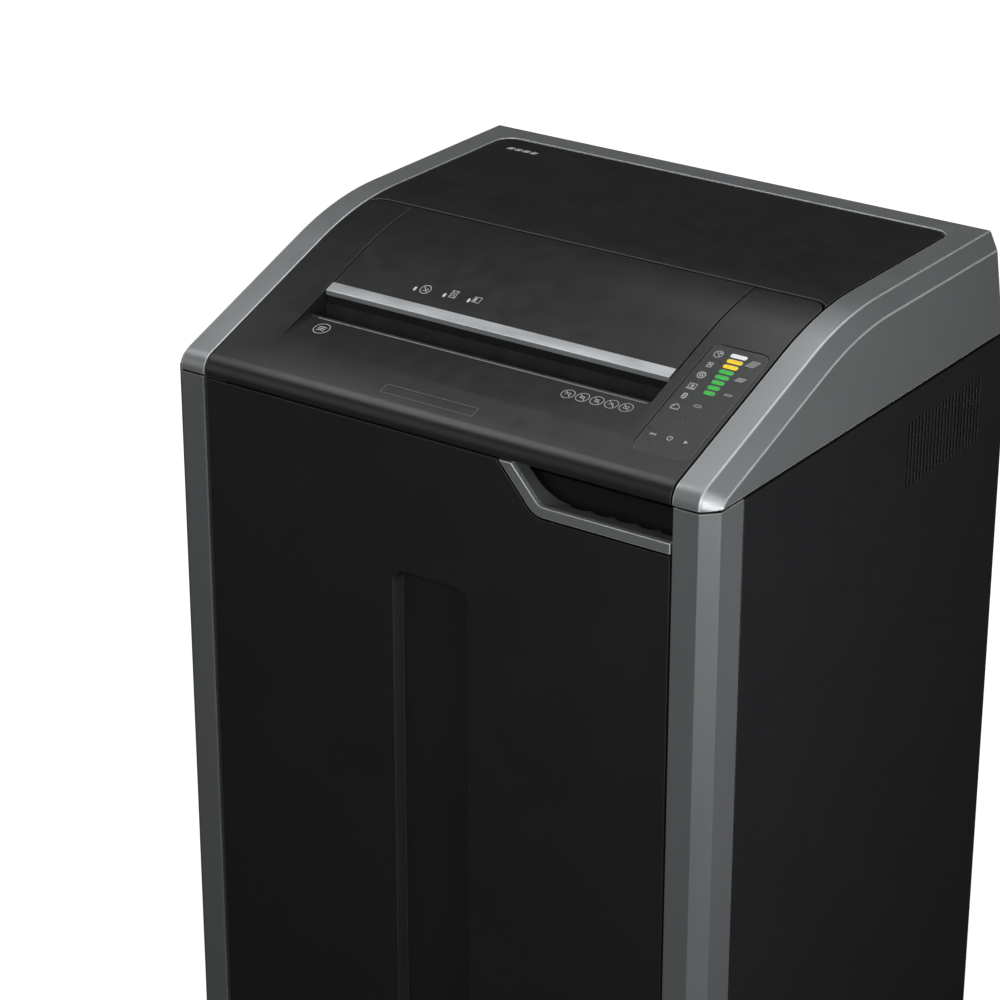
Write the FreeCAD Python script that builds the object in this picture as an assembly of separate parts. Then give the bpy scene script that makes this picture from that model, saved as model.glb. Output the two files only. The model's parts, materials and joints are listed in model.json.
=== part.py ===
import FreeCAD, Part
import math
import os

# Floor-standing office paper shredder, in millimetres.
# +X is the operator's right, +Y points to the back, +Z is up; the floor is z = 0 and the
# origin is under the middle of the cabinet. Every function below makes one sub-part.

V = FreeCAD.Vector

# ---------------------------------------------------------------- driving dimensions
WIDTH = 640.0
DEPTH = 580.0
CASTOR_HEIGHT = 66.0
SEAM_Z = 954.0            # where the hood sits on the cabinet
HOOD_HEIGHT = 112.0
CORNER_CHAMFER = 15.0
FRONT_FLAT = 28.0         # width of the corner posts' front face
PANEL_GAP = 2.0           # open joint between grey and black mouldings
SKIN = 3.0                # moulded skin thickness
SHEET = 1.5               # sheet-steel thickness
THROAT_LEFT = -221.0
THROAT_RIGHT = 192.5

SIDE_X = WIDTH / 2
FRONT_Y = -DEPTH / 2
REAR_Y = DEPTH / 2
TOP_Z = SEAM_Z + HOOD_HEIGHT
BASE_Z = CASTOR_HEIGHT
BAND_X = SIDE_X - CORNER_CHAMFER - FRONT_FLAT - 1.0

# Hood side profile: rolled nose, straight slope, large crown radius, flat top, raked back.
SLOPE = math.radians(20.5)
CROWN_Y = -34.5           # where the slope and the flat top would meet
NOSE_RADIUS = 20.0
CROWN_RADIUS = 363.0
REAR_TOP_Y = 263.0

# Hood panels
FASCIA_REAR_Y = -10.5
LID_FRONT_GAP = 3.0
LID_REAR_Y = 231.0
LID_REAR_GAP = 3.5
PANEL_CORNER = 17.0
RETURN_DEPTH = 10.0       # turned-down edge of each hood panel

# Feed tray and throat
TRAY_FRONT_Y = -240.0
LIP_Y = -189.0
LIP_Z = SEAM_Z + 46.0
NOSE_Y = -161.0
NOSE_BOTTOM_Z = SEAM_Z + 51.0
GUIDE_FOOT_Z = SEAM_Z - 5.0

# Cutting unit
CUT_X = (THROAT_LEFT + THROAT_RIGHT) / 2
CUT_HALF = 212.0
CHASSIS_GAP = 219.0       # half the clear width between the chassis plates
CHASSIS_THICK = 6.0
CUT_Z = 915.0
FRONT_CUT_Y = -190.0
REAR_CUT_Y = -140.0
DISC_RADIUS = 28.0
CORE_RADIUS = 20.0
DISC_THICK = 7.0
DISC_PITCH = 16.0
DISC_HOOKS = 6
JOURNAL_RADIUS = 12.0
STUB_RADIUS = 9.0
RUNNING = 0.05            # radial running clearance
BEARING_RADIUS = 19.0
TIE_ROD_RADIUS = 6.0
FRONT_DISCS = [DISC_PITCH * i for i in range(-13, 14)]
REAR_DISCS = [DISC_PITCH * (i + 0.5) for i in range(-13, 13)]

# Gears: stub teeth, 25 degree pressure angle
SYNC_TEETH = 20
DRIVE_TEETH = 44
SMALL_TEETH = 14
LARGE_TEETH = 40
MOTOR_TEETH = 12
COARSE = 2.5              # module of the sync and drive gears
FINE = 2.0                # module of the motor stage
PRESSURE = math.radians(25.0)
DRIVE_LEAN = math.radians(25.0)
MOTOR_LEAN = math.radians(-10.0)
GEAR_X_LEFT = CUT_X - CHASSIS_GAP - CHASSIS_THICK - 22
GEAR_X_RIGHT = CUT_X + CHASSIS_GAP + CHASSIS_THICK + 6
GEAR_WIDTH = 14.0
SPINDLE_RADIUS = 6.0
SHAFT_RADIUS = 8.0        # motor shaft
MOTOR_X_LOW = 30.0
MOTOR_RADIUS = 52.0

# Cabinet
SHELF_Z = 850.0
DOOR_BOTTOM_Z = 95.0
DOOR_TOP_Z = SEAM_Z - 1.5
DOOR_X = 275.0
DOOR_BACK_Y = -266.0
DOOR_AXIS_X = -267.0
DOOR_AXIS_Y = -282.0
DOOR_PIN_RADIUS = 3.5
DOOR_BUSH_RADIUS = 6.0
POST_BACK_Y = -236.0

# Finger opening in the door's top right corner: a slanting edge, then a level one.
GRIP_START_X = 96.0
GRIP_BEND_X = 129.0
GRIP_DROP = 38.0
TRIM_WIDTH = 11.0
TRIM_GAP = 2.2
LEDGE_BACK_Y = -269.0
SCALLOPS = 5

# Pull-out bin
BIN_X = 215.0
BIN_FRONT_Y = -200.0
BIN_BACK_Y = 240.0
BIN_BOTTOM_Z = 92.5
BIN_TOP_Z = 795.0
BIN_WALL = 3.0

# Castors
CASTOR_X = 262.0
CASTOR_Y = 232.0
WHEEL_RADIUS = 25.0
WHEEL_WIDTH = 20.0
CASTOR_TRAIL = 18.0
KINGPIN_RADIUS = 5.0
AXLE_RADIUS = 3.0
FORK_TOP = 58.0
FORK_PLATE = 3.0
CORNERS = {"front_left": (-1, -1), "front_right": (1, -1), "rear_left": (-1, 1), "rear_right": (1, 1)}

# Mains inlet and main switch, low on the rear panel
INLET_X = 230.0
INLET_Z = 150.0
SWITCH_X = 190.0
ROCKER_Y = REAR_Y - 9.0
ROCKER_TILT = 10.0

# Vent slots
VENT_FRONT_Y = 82.0
VENT_PITCH = 7.05
VENT_SLOTS = 22
VENT_TOP_Z = SEAM_Z - 34
VENT_HEIGHT = 71.0
SLOT_HALF = 1.75
REAR_VENT_SLOTS = 20
REAR_VENT_PITCH = 10.0

# Lid hinge
LID_AXIS_Y = 216.0
LID_AXIS_Z = TOP_Z - 7.0
LID_KNUCKLE = 3.2
LID_PIN = 1.6
LID_HINGE_X = 200.0

# Control panel
PANEL_LEFT = 205.0
PANEL_RIGHT = 269.0
PANEL_FRONT = -254.0
PANEL_REAR = -105.0
PANEL_RADIUS = 10.0
GAUGE_X = 238.0
GAUGE_REAR_Y = -115.0
GAUGE_PITCH = 7.45
GAUGE_BARS = 8
STATUS_PINS = ((-130.5, -131.5), (-95.0, -130.5), (-66.0, -129.5))
STATUS_PIN_HALF = 1.3
STATUS_PIN_STRETCH = 1.3


# ---------------------------------------------------------------- shape helpers
def block(low, high):
    size = V(*high) - V(*low)
    return Part.makeBox(size.x, size.y, size.z, V(*low))


def rod(radius, start, end):
    axis = V(*end) - V(*start)
    return Part.makeCylinder(radius, axis.Length, V(*start), axis)


def tube(outer, inner, start, end):
    return rod(outer, start, end).cut(rod(inner, start, end))


def plate_yz(points, x_low, x_high):
    """Polygon in the Y-Z plane, extruded along X."""
    loop = [V(x_low, y, z) for y, z in points]
    face = Part.Face(Part.makePolygon(loop + loop[:1]))
    return face.extrude(V(x_high - x_low, 0, 0))


def plate_xz(points, y_low, y_high):
    """Polygon in the X-Z plane, extruded along Y."""
    loop = [V(x, y_low, z) for x, z in points]
    face = Part.Face(Part.makePolygon(loop + loop[:1]))
    return face.extrude(V(0, y_high - y_low, 0))


def plate_xy(points, z_low, z_high):
    """Polygon in the X-Y plane, extruded upwards."""
    loop = [V(x, y, z_low) for x, y in points]
    face = Part.Face(Part.makePolygon(loop + loop[:1]))
    return face.extrude(V(0, 0, z_high - z_low))


def rounded_block(low, high, radius, direction=(0, 0, 1)):
    """A block whose edges along one direction are rounded."""
    shape = block(low, high)
    along = V(*direction)
    edges = [e for e in shape.Edges if abs(e.tangentAt(e.FirstParameter).dot(along)) > 0.99]
    return shape.makeFillet(radius, edges)


def open_box(low, high, wall):
    """A box with no lid."""
    inner_low = (low[0] + wall, low[1] + wall, low[2] + wall)
    inner_high = (high[0] - wall, high[1] - wall, high[2] + wall)
    return block(low, high).cut(block(inner_low, inner_high))


def fuse(shapes):
    result = shapes[0]
    if len(shapes) > 1:
        result = result.multiFuse(shapes[1:])
    return result.removeSplitter()


def mirror(shape):
    return shape.mirror(V(0, 0, 0), V(1, 0, 0))


def group(shapes):
    return Part.makeCompound(shapes)


# ---------------------------------------------------------------- hood envelope
def slope_z(y, depth=0.0):
    """Height of the hood's straight slope at y, a given depth under the surface."""
    return TOP_Z + (y - CROWN_Y) * math.tan(SLOPE) - depth / math.cos(SLOPE)


def hood_wire(x, inset, nose_radius):
    """Side profile of the hood at x, moved inwards by inset; it runs 40 mm below the seam."""
    foot_z = SEAM_Z - 40.0
    normal = V(0, -math.sin(SLOPE), math.cos(SLOPE))
    nose_y = FRONT_Y + inset + nose_radius
    nose = V(x, nose_y, slope_z(nose_y, inset + nose_radius))
    crown_y = CROWN_Y + CROWN_RADIUS * (1 / math.cos(SLOPE) - 1) / math.tan(SLOPE)
    crown = V(x, crown_y, TOP_Z - CROWN_RADIUS)
    middle_crown = V(0, -math.sin(SLOPE / 2), math.cos(SLOPE / 2))
    nose_start = nose + V(0, -1, 0) * nose_radius
    nose_mid = nose + nose_middle() * nose_radius
    nose_end = nose + normal * nose_radius
    crown_start = crown + normal * (CROWN_RADIUS - inset)
    crown_mid = crown + middle_crown * (CROWN_RADIUS - inset)
    crown_end = crown + V(0, 0, CROWN_RADIUS - inset)
    rake = V(0, REAR_Y - REAR_TOP_Y, -HOOD_HEIGHT).normalize()
    rake_normal = V(0, -rake.z, rake.y)
    on_rake = V(x, REAR_TOP_Y, TOP_Z) - rake_normal * inset
    top_z = TOP_Z - inset
    rear_top = on_rake + rake * ((top_z - on_rake.z) / rake.z)
    rear_foot = on_rake + rake * ((foot_z - on_rake.z) / rake.z)
    front_foot = V(x, FRONT_Y + inset, foot_z)
    edges = [
        Part.makeLine(front_foot, nose_start),
        Part.Arc(nose_start, nose_mid, nose_end).toShape(),
        Part.makeLine(nose_end, crown_start),
        Part.Arc(crown_start, crown_mid, crown_end).toShape(),
        Part.makeLine(crown_end, rear_top),
        Part.makeLine(rear_top, rear_foot),
        Part.makeLine(rear_foot, front_foot),
    ]
    return Part.Wire(edges)


def nose_middle():
    """Unit vector half way between straight ahead and the slope's normal."""
    half = (V(0, -1, 0) + V(0, -math.sin(SLOPE), math.cos(SLOPE)))
    return half.normalize()


def hood_solid(inset):
    """Everything inside the hood's outer surface, moved inwards by inset, above the seam."""
    corner = inset * (math.sqrt(2) - 1)
    flat_x = SIDE_X - CORNER_CHAMFER - corner
    side_x = SIDE_X - inset
    nose_radius = NOSE_RADIUS - inset
    wires = [
        hood_wire(-side_x, CORNER_CHAMFER + corner, nose_radius),
        hood_wire(-flat_x, inset, nose_radius),
        hood_wire(flat_x, inset, nose_radius),
        hood_wire(side_x, CORNER_CHAMFER + corner, nose_radius),
    ]
    solid = Part.makeLoft(wires, True, True)
    return solid.common(block((-400, -400, SEAM_Z + 1), (400, 400, TOP_Z + 50)))


def outline(x_half, y_front, y_rear, rear_radius, inset=0.0):
    """Plan prism with rounded rear corners, tall enough to cut through the hood."""
    low = (-x_half + inset, y_front + inset, SEAM_Z - 50)
    high = (x_half - inset, y_rear - inset, TOP_Z + 50)
    shape = block(low, high)
    rear = [e for e in shape.Edges
            if abs(e.tangentAt(e.FirstParameter).z) > 0.99 and e.CenterOfMass.y > high[1] - 1]
    return shape.makeFillet(rear_radius - inset, rear)


OUTER = hood_solid(0)
UNDER_SKIN = hood_solid(SKIN)
UNDER_RETURN = hood_solid(RETURN_DEPTH)
HOOD_SKIN = OUTER.cut(UNDER_SKIN)
HOOD_RIM = OUTER.cut(UNDER_RETURN)
OPENING_FRONT = FRONT_Y - 30
INNER_X = BAND_X - PANEL_GAP


def ring(x_half, y_front, y_rear, radius):
    """Thin upright wall just inside a plan outline."""
    outer = outline(x_half, y_front, y_rear, radius)
    return outer.cut(outline(x_half, y_front, y_rear, radius, SKIN))


# ---------------------------------------------------------------- hood mouldings
def hood_frame():
    """Grey cheeks and rear rail in one moulding, with turned-down inner edges."""
    rail_y = LID_REAR_Y + LID_REAR_GAP
    hole = outline(BAND_X, OPENING_FRONT, rail_y, PANEL_CORNER + PANEL_GAP)
    wider = outline(BAND_X + SKIN, OPENING_FRONT, rail_y + SKIN, PANEL_CORNER + PANEL_GAP + SKIN)
    shell = HOOD_SKIN.cut(hole)
    rim = HOOD_RIM.common(wider.cut(hole))
    hinge_flange = block((-250, rail_y, TOP_Z - 36), (250, rail_y + SKIN, TOP_Z - 5))
    return fuse([shell, rim, hinge_flange])


def front_fascia():
    """Black front moulding: rolled nose, sunk feed tray and the surround of the throat."""
    plan = outline(INNER_X, FRONT_Y - 1, FASCIA_REAR_Y, PANEL_CORNER)
    rim = HOOD_RIM.common(ring(INNER_X, OPENING_FRONT, FASCIA_REAR_Y, PANEL_CORNER))
    throat = block((THROAT_LEFT, TRAY_FRONT_Y, SEAM_Z - 60), (THROAT_RIGHT, FASCIA_REAR_Y + 20, TOP_Z + 20))
    window_low = (PANEL_LEFT, PANEL_FRONT, SEAM_Z - 10)
    window_high = (PANEL_RIGHT, PANEL_REAR, TOP_Z)
    window = rounded_block(window_low, window_high, PANEL_RADIUS)
    ledge_hole = rounded_block(
        (PANEL_LEFT + 3, PANEL_FRONT + 3, SEAM_Z - 10), (PANEL_RIGHT - 3, PANEL_REAR - 3, TOP_Z), 7)
    ledge_ring = rounded_block(
        (PANEL_LEFT - 2, PANEL_FRONT - 2, SEAM_Z - 10), (PANEL_RIGHT + 2, PANEL_REAR + 2, TOP_Z), 12)
    ledge = UNDER_SKIN.cut(hood_solid(SKIN + 2)).common(ledge_ring.cut(ledge_hole))
    shell = fuse([HOOD_SKIN.common(plan), rim.common(plan)]).cut(throat).cut(window)
    return fuse([shell, ledge, feed_tray()] + throat_cheeks())


def feed_tray():
    """Shallow ramp that runs down from the slope's surface to the throat's front lip."""
    start_z = slope_z(TRAY_FRONT_Y)
    points = [
        (TRAY_FRONT_Y - 3, slope_z(TRAY_FRONT_Y - 3, 1.5)),
        (TRAY_FRONT_Y, start_z),
        (LIP_Y, LIP_Z),
        (LIP_Y, LIP_Z - SKIN),
        (TRAY_FRONT_Y, start_z - SKIN),
        (TRAY_FRONT_Y - 3, slope_z(TRAY_FRONT_Y - 3, SKIN)),
    ]
    return plate_yz(points, THROAT_LEFT - SKIN, THROAT_RIGHT + SKIN)


def throat_cheeks():
    """Side walls of the feed tray and of the throat."""
    cheeks = []
    for x in (THROAT_LEFT - SKIN, THROAT_RIGHT):
        wall = block((x, TRAY_FRONT_Y, LIP_Z - 12), (x + SKIN, NOSE_Y + 6, TOP_Z))
        cheeks.append(OUTER.common(wall))
    return cheeks


def entry_panel():
    """Black panel between the throat and the lid, with a deep nose over the throat."""
    left = THROAT_LEFT + 1.3
    right = THROAT_RIGHT - 1.3
    plan = block((left, NOSE_Y + 11, SEAM_Z), (right, FASCIA_REAR_Y, TOP_Z + 20))
    top = HOOD_SKIN.common(plan)
    nose_top = slope_z(NOSE_Y, SKIN)
    nose = plate_yz([
        (NOSE_Y, nose_top - 0.5),
        (NOSE_Y + 12, slope_z(NOSE_Y + 12, SKIN) - 0.5),
        (NOSE_Y + 12, slope_z(NOSE_Y + 12, SKIN + 3)),
        (NOSE_Y + SKIN, nose_top - 4),
        (NOSE_Y + SKIN, NOSE_BOTTOM_Z),
        (NOSE_Y, NOSE_BOTTOM_Z),
    ], left, right)
    joint = plate_yz([
        (NOSE_Y + 11, slope_z(NOSE_Y + 11, SKIN + 1)),
        (NOSE_Y + 14, slope_z(NOSE_Y + 14, SKIN + 1)),
        (NOSE_Y + 14, slope_z(NOSE_Y + 14, 0.5)),
        (NOSE_Y + 11, slope_z(NOSE_Y + 11, 0.5)),
    ], left, right)
    pin_holes = group([status_pin(x, y, STATUS_PIN_HALF + 0.1) for x, y in STATUS_PINS])
    return fuse([top, nose, joint]).cut(pin_holes)


def entry_strip():
    """Silver strip along the front edge of the entry panel, 1 mm proud of it."""
    front = NOSE_Y - 2
    rear = NOSE_Y + 11
    proud = -1.0
    return plate_yz([
        (front, slope_z(front, proud)),
        (rear - 0.6, slope_z(rear - 0.6, proud)),
        (rear - 0.6, slope_z(rear - 0.6, SKIN - 0.2)),
        (NOSE_Y - 0.3, slope_z(NOSE_Y - 0.3, SKIN - 0.2)),
        (NOSE_Y - 0.3, slope_z(NOSE_Y, SKIN + 1.6)),
        (front, slope_z(front, SKIN + 0.8)),
    ], THROAT_LEFT + 1.8, THROAT_RIGHT - 1.8)


def control_glass():
    """Smoked touch panel, 1 mm below the fascia, with a slot for each gauge bar."""
    low = (PANEL_LEFT + 0.4, PANEL_FRONT + 0.4, SEAM_Z)
    high = (PANEL_RIGHT - 0.4, PANEL_REAR - 0.4, TOP_Z + 9)
    plan = rounded_block(low, high, PANEL_RADIUS - 0.4)
    glass = hood_solid(1.0).cut(UNDER_SKIN).common(plan)
    return glass.cut(group([gauge_prism(i, 0.0) for i in range(GAUGE_BARS)]))


def gauge_width(index):
    """The gauge tapers from the full-load bar down to the first one."""
    return 18.0 - 0.85 * index


def gauge_prism(index, shrink):
    y = GAUGE_REAR_Y - GAUGE_PITCH * index
    half = gauge_width(index) / 2 - shrink
    deep = 2.4 - shrink
    low = (GAUGE_X - half, y - deep, SEAM_Z)
    high = (GAUGE_X + half, y + deep, TOP_Z)
    return rounded_block(low, high, deep - 0.05)


def gauge_lights():
    """Light guides of the sheet-capacity gauge, flush with the glass."""
    layer = hood_solid(0.9).cut(hood_solid(SKIN + 1))
    return [layer.common(gauge_prism(i, 0.1)) for i in range(GAUGE_BARS)]


def status_lights():
    """Three pin lights on the entry panel: door open, bin full, overheated."""
    layer = hood_solid(-0.3).cut(hood_solid(SKIN + 2))
    return [layer.common(status_pin(x, y, STATUS_PIN_HALF)) for x, y in STATUS_PINS]


def status_pin(x, y, half):
    """Upright oval pin, longer front to back than it is wide."""
    long_half = half + STATUS_PIN_STRETCH
    return rounded_block((x - half, y - long_half, SEAM_Z), (x + half, y + long_half, TOP_Z), half - 0.05)


def indicator_lights():
    """All the light guides: the gauge's bars and the status pins."""
    return group(gauge_lights() + status_lights())


def lid_plan(inset=0.0):
    full = outline(INNER_X, FASCIA_REAR_Y - 14, LID_REAR_Y, PANEL_CORNER, inset)
    fascia_edge = FASCIA_REAR_Y + LID_FRONT_GAP + inset
    behind = outline(INNER_X + PANEL_GAP, OPENING_FRONT, fascia_edge, PANEL_CORNER + PANEL_GAP)
    return full.cut(behind)


def service_lid():
    """Black rear lid over the service tray, hinged along its back edge."""
    plan = lid_plan()
    rim_zone = block((-400, -60, SEAM_Z), (400, 200, TOP_Z + 50))
    rim = HOOD_RIM.common(plan.cut(lid_plan(SKIN))).common(rim_zone)
    knuckles = []
    for side in (-1, 1):
        for offset in (-17, 17):
            x = side * LID_HINGE_X + offset
            axis = (x - 6, LID_AXIS_Y, LID_AXIS_Z)
            barrel = rod(LID_KNUCKLE, axis, (x + 6, LID_AXIS_Y, LID_AXIS_Z))
            web = block((x - 6, LID_AXIS_Y - LID_KNUCKLE, LID_AXIS_Z),
                        (x + 6, LID_AXIS_Y + LID_KNUCKLE, TOP_Z - 1))
            knuckles.append(barrel.fuse(web))
    shell = fuse([HOOD_SKIN.common(plan), rim] + knuckles)
    pins = [lid_pin(side, LID_PIN + RUNNING) for side in (-1, 1)]
    return shell.cut(group(pins))


def lid_pin(side, radius):
    x = side * LID_HINGE_X
    return rod(radius, (x - 26, LID_AXIS_Y, LID_AXIS_Z), (x + 26, LID_AXIS_Y, LID_AXIS_Z))


def lid_hinges():
    """Fixed hinge brackets with their pins, screwed to the rear rail's inner flange."""
    parts = []
    rail_y = LID_REAR_Y + LID_REAR_GAP
    for side in (-1, 1):
        x = side * LID_HINGE_X
        barrel = rod(LID_KNUCKLE, (x - 10, LID_AXIS_Y, LID_AXIS_Z), (x + 10, LID_AXIS_Y, LID_AXIS_Z))
        web = block((x - 10, LID_AXIS_Y - 2, TOP_Z - 32), (x + 10, LID_AXIS_Y + 1.5, LID_AXIS_Z))
        foot = block((x - 10, LID_AXIS_Y - 2, TOP_Z - 34), (x + 10, rail_y, TOP_Z - 31))
        leaf = block((x - 10, rail_y - 2, TOP_Z - 34), (x + 10, rail_y, TOP_Z - 22))
        parts.append(fuse([barrel, web, foot, leaf, lid_pin(side, LID_PIN)]))
    return group(parts)


def service_tray():
    """Tray under the lid that closes off the mechanism."""
    low = (-262, 8, TOP_Z - 63)
    high = (262, 213, TOP_Z - 14)
    tray = open_box(low, high, 2)
    flange = block((-271, 0, high[2] - 2), (271, high[1], high[2]))
    hole = block((low[0], low[1], high[2] - 5), (high[0], high[1], high[2] + 5))
    return fuse([tray, flange.cut(hole)])


def oil_tank():
    """Blade-oil bottle in the tray, with its screw cap and feed spout."""
    floor_z = TOP_Z - 61 + 0.2
    body = rounded_block((-250, 30, floor_z), (-110, 190, floor_z + 34), 14)
    shoulder = rod(20, (-180, 110, floor_z + 34), (-180, 110, floor_z + 37))
    cap = rod(16, (-180, 110, floor_z + 37), (-180, 110, floor_z + 44))
    ribs = [rod(1.5, (-180 + 16 * math.cos(a), 110 + 16 * math.sin(a), floor_z + 37),
                (-180 + 16 * math.cos(a), 110 + 16 * math.sin(a), floor_z + 43))
            for a in (math.radians(20 * i) for i in range(18))]
    return fuse([body, shoulder, cap] + ribs)


# ---------------------------------------------------------------- cabinet
def corner_post(side):
    """Grey folded-sheet corner post: front flat, chamfer, side flat and two returns."""
    front_x = BAND_X + 1
    chamfer_x = SIDE_X - CORNER_CHAMFER
    outer = [
        (front_x, -262), (front_x, FRONT_Y), (chamfer_x, FRONT_Y),
        (SIDE_X, FRONT_Y + CORNER_CHAMFER), (SIDE_X, POST_BACK_Y), (chamfer_x, POST_BACK_Y),
    ]
    t = 2.0
    k = t * (math.sqrt(2) - 1)
    inner = [
        (chamfer_x, POST_BACK_Y - t), (SIDE_X - t, POST_BACK_Y - t),
        (SIDE_X - t, FRONT_Y + CORNER_CHAMFER + k), (chamfer_x - k, FRONT_Y + t),
        (front_x + t, FRONT_Y + t), (front_x + t, -262),
    ]
    post = plate_xy(outer + inner, BASE_Z, SEAM_Z - 1)
    upright = []
    for e in post.Edges:
        middle = e.CenterOfMass
        on_front = middle.y < FRONT_Y + CORNER_CHAMFER + 0.1 and middle.x > front_x - 0.1
        is_outer = any(abs(middle.x - x) < 0.01 and abs(middle.y - y) < 0.01 for x, y in outer[1:5])
        if e.Length > 800 and on_front and is_outer:
            upright.append(e)
    post = post.makeFillet(1.5, upright)
    return post if side > 0 else mirror(post)


def side_panel(side):
    """Black side panel: a sheet pan with folded edges and a block of vent slots."""
    low = (SIDE_X - 14.0, POST_BACK_Y + PANEL_GAP, BASE_Z)
    high = (SIDE_X - 0.5, REAR_Y - 2, SEAM_Z - 3)
    pan = block(low, high)
    outer_edges = [e for e in pan.Edges
                   if e.BoundBox.XMin > high[0] - 0.1 and (e.BoundBox.ZLength < 1 or e.CenterOfMass.y < 0)]
    pan = pan.makeFillet(1.4, outer_edges)
    pocket_high = (high[0] - SHEET, high[1] - SHEET, high[2] - SHEET)
    pocket = block((low[0] - 1, low[1] + SHEET, low[2] + SHEET), pocket_high)
    pan = pan.cut(pocket)
    slots = []
    for i in range(VENT_SLOTS):
        y = VENT_FRONT_Y + VENT_PITCH * i
        slot_low = (low[0] - 1, y - SLOT_HALF, VENT_TOP_Z - VENT_HEIGHT)
        slots.append(block(slot_low, (SIDE_X + 1, y + SLOT_HALF, VENT_TOP_Z)))
    pan = pan.cut(group(slots))
    return pan if side > 0 else mirror(pan)


def rear_panel():
    """Flat rear sheet with an inlet cut-out, a switch cut-out, screw holes and motor vents."""
    sheet = block((-SIDE_X + 2, REAR_Y - SHEET, BASE_Z), (SIDE_X - 2, REAR_Y, SEAM_Z - 1))
    cuts = [block((INLET_X - 14, REAR_Y - 5, INLET_Z - 10), (INLET_X + 14, REAR_Y + 5, INLET_Z + 10)),
            block((SWITCH_X - 11, REAR_Y - 5, INLET_Z - 14), (SWITCH_X + 11, REAR_Y + 5, INLET_Z + 14))]
    cuts += [rod(2.1, (x, REAR_Y - 5, z), (x, REAR_Y + 5, z)) for x, z in screw_points()]
    for i in range(REAR_VENT_SLOTS):
        x = REAR_VENT_PITCH * (i + 0.5 - REAR_VENT_SLOTS / 2)
        low = (x - SLOT_HALF, REAR_Y - 5, SHELF_Z + 10)
        cuts.append(block(low, (x + SLOT_HALF, REAR_Y + 5, SHELF_Z + 70)))
    return sheet.cut(group(cuts))


def screw_points():
    """Rear panel screws, three down each side."""
    return [(side * 300, z) for side in (-1, 1) for z in (110, 510, 905)]


def panel_screws():
    """Countersunk-flush screws holding the rear panel."""
    screws = []
    for x, z in screw_points():
        shank = rod(2.0, (x, REAR_Y - 12, z), (x, REAR_Y - 0.2, z))
        socket = block((x - 0.5, REAR_Y - 1.4, z - 1.5), (x + 0.5, REAR_Y, z + 1.5))
        screws.append(shank.cut(socket))
    return group(screws)


def base_pan():
    """Steel floor of the cabinet with turned-up sides."""
    low = (-SIDE_X + 16, -262, BASE_Z)
    high = (SIDE_X - 16, REAR_Y - 3, BASE_Z + 16)
    return open_box(low, high, 2)


def plinth_bar():
    """Cross bar under the door."""
    bar = block((-BAND_X, FRONT_Y + 1, BASE_Z), (BAND_X, -262.5, DOOR_BOTTOM_Z - 3))
    pocket = block((-BAND_X - 1, FRONT_Y + 3, BASE_Z - 1), (BAND_X + 1, -262, DOOR_BOTTOM_Z - 5))
    return bar.cut(pocket)


def top_frame():
    """Angle-iron frame under the seam; its front rail is set back behind the finger opening."""
    z_low = SEAM_Z - 24
    z_high = SEAM_Z + 1
    side = block((295, -236, z_low), (306, REAR_Y - 4, z_high))
    side = side.cut(block((290, -240, z_low - 1), (303.5, REAR_Y, z_high - 2.5)))
    rear = block((-295, REAR_Y - 16, z_low), (295, REAR_Y - 4, z_high))
    rear = rear.cut(block((-296, REAR_Y - 20, z_low - 1), (296, REAR_Y - 6.5, z_high - 2.5)))
    front = block((-295, -240, z_low), (295, -229.5, z_high))
    front = front.cut(block((-296, -237.5, z_low - 1), (296, -229, z_high - 2.5)))
    return group([side, mirror(side), rear, front])


def mechanism_shelf():
    """Shelf that carries the cutting unit, with the drop hole for the shreds."""
    sheet = block((-304, -234, SHELF_Z), (304, REAR_Y - 4, SHELF_Z + SKIN))
    lips = [block((x, -234, SHELF_Z - 18), (x + 2.5, REAR_Y - 4, SHELF_Z)) for x in (-304, 301.5)]
    hole = block((-226, -222, SHELF_Z - 5), (197, -108, SHELF_Z + 10))
    return fuse([sheet] + lips).cut(hole)


def inner_front_panel():
    """Cover in front of the cutters, seen above the bin when the door is open."""
    sheet = block((-274, -244, 806), (274, -242.5, SEAM_Z - 26))
    fold = block((-274, -244, 806), (274, -234.5, 807.5))
    return fuse([sheet, fold])


def shred_chute():
    """Funnel under the shelf that guides shreds into the bin."""
    top = [(-228, -224), (199, -224), (199, -106), (-228, -106)]
    bottom = [(-205, -192), (190, -192), (190, -100), (-205, -100)]
    upper = Part.makePolygon([V(x, y, SHELF_Z) for x, y in top + top[:1]])
    lower = Part.makePolygon([V(x, y, 812) for x, y in bottom + bottom[:1]])
    inset = ((1.5, 1.5), (-1.5, 1.5), (-1.5, -1.5), (1.5, -1.5))
    top_in = [(x + dx, y + dy) for (x, y), (dx, dy) in zip(top, inset)]
    bottom_in = [(x + dx, y + dy) for (x, y), (dx, dy) in zip(bottom, inset)]
    upper_in = Part.makePolygon([V(x, y, SHELF_Z) for x, y in top_in + top_in[:1]])
    lower_in = Part.makePolygon([V(x, y, 812) for x, y in bottom_in + bottom_in[:1]])
    return Part.makeLoft([lower, upper], True, True).cut(Part.makeLoft([lower_in, upper_in], True, True))


def bin_runners():
    """Two angle rails that carry the bin."""
    angle = block((192, -235, BASE_Z + 2), (222, 262, BIN_BOTTOM_Z - 0.5))
    angle = angle.cut(block((190, -236, BASE_Z + 1), (220, 263, BIN_BOTTOM_Z - 2.5)))
    fence = block((218.5, -235, BIN_BOTTOM_Z - 1), (222, 262, BIN_BOTTOM_Z + 16))
    rail = fuse([angle, fence])
    return group([rail, mirror(rail)])


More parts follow.
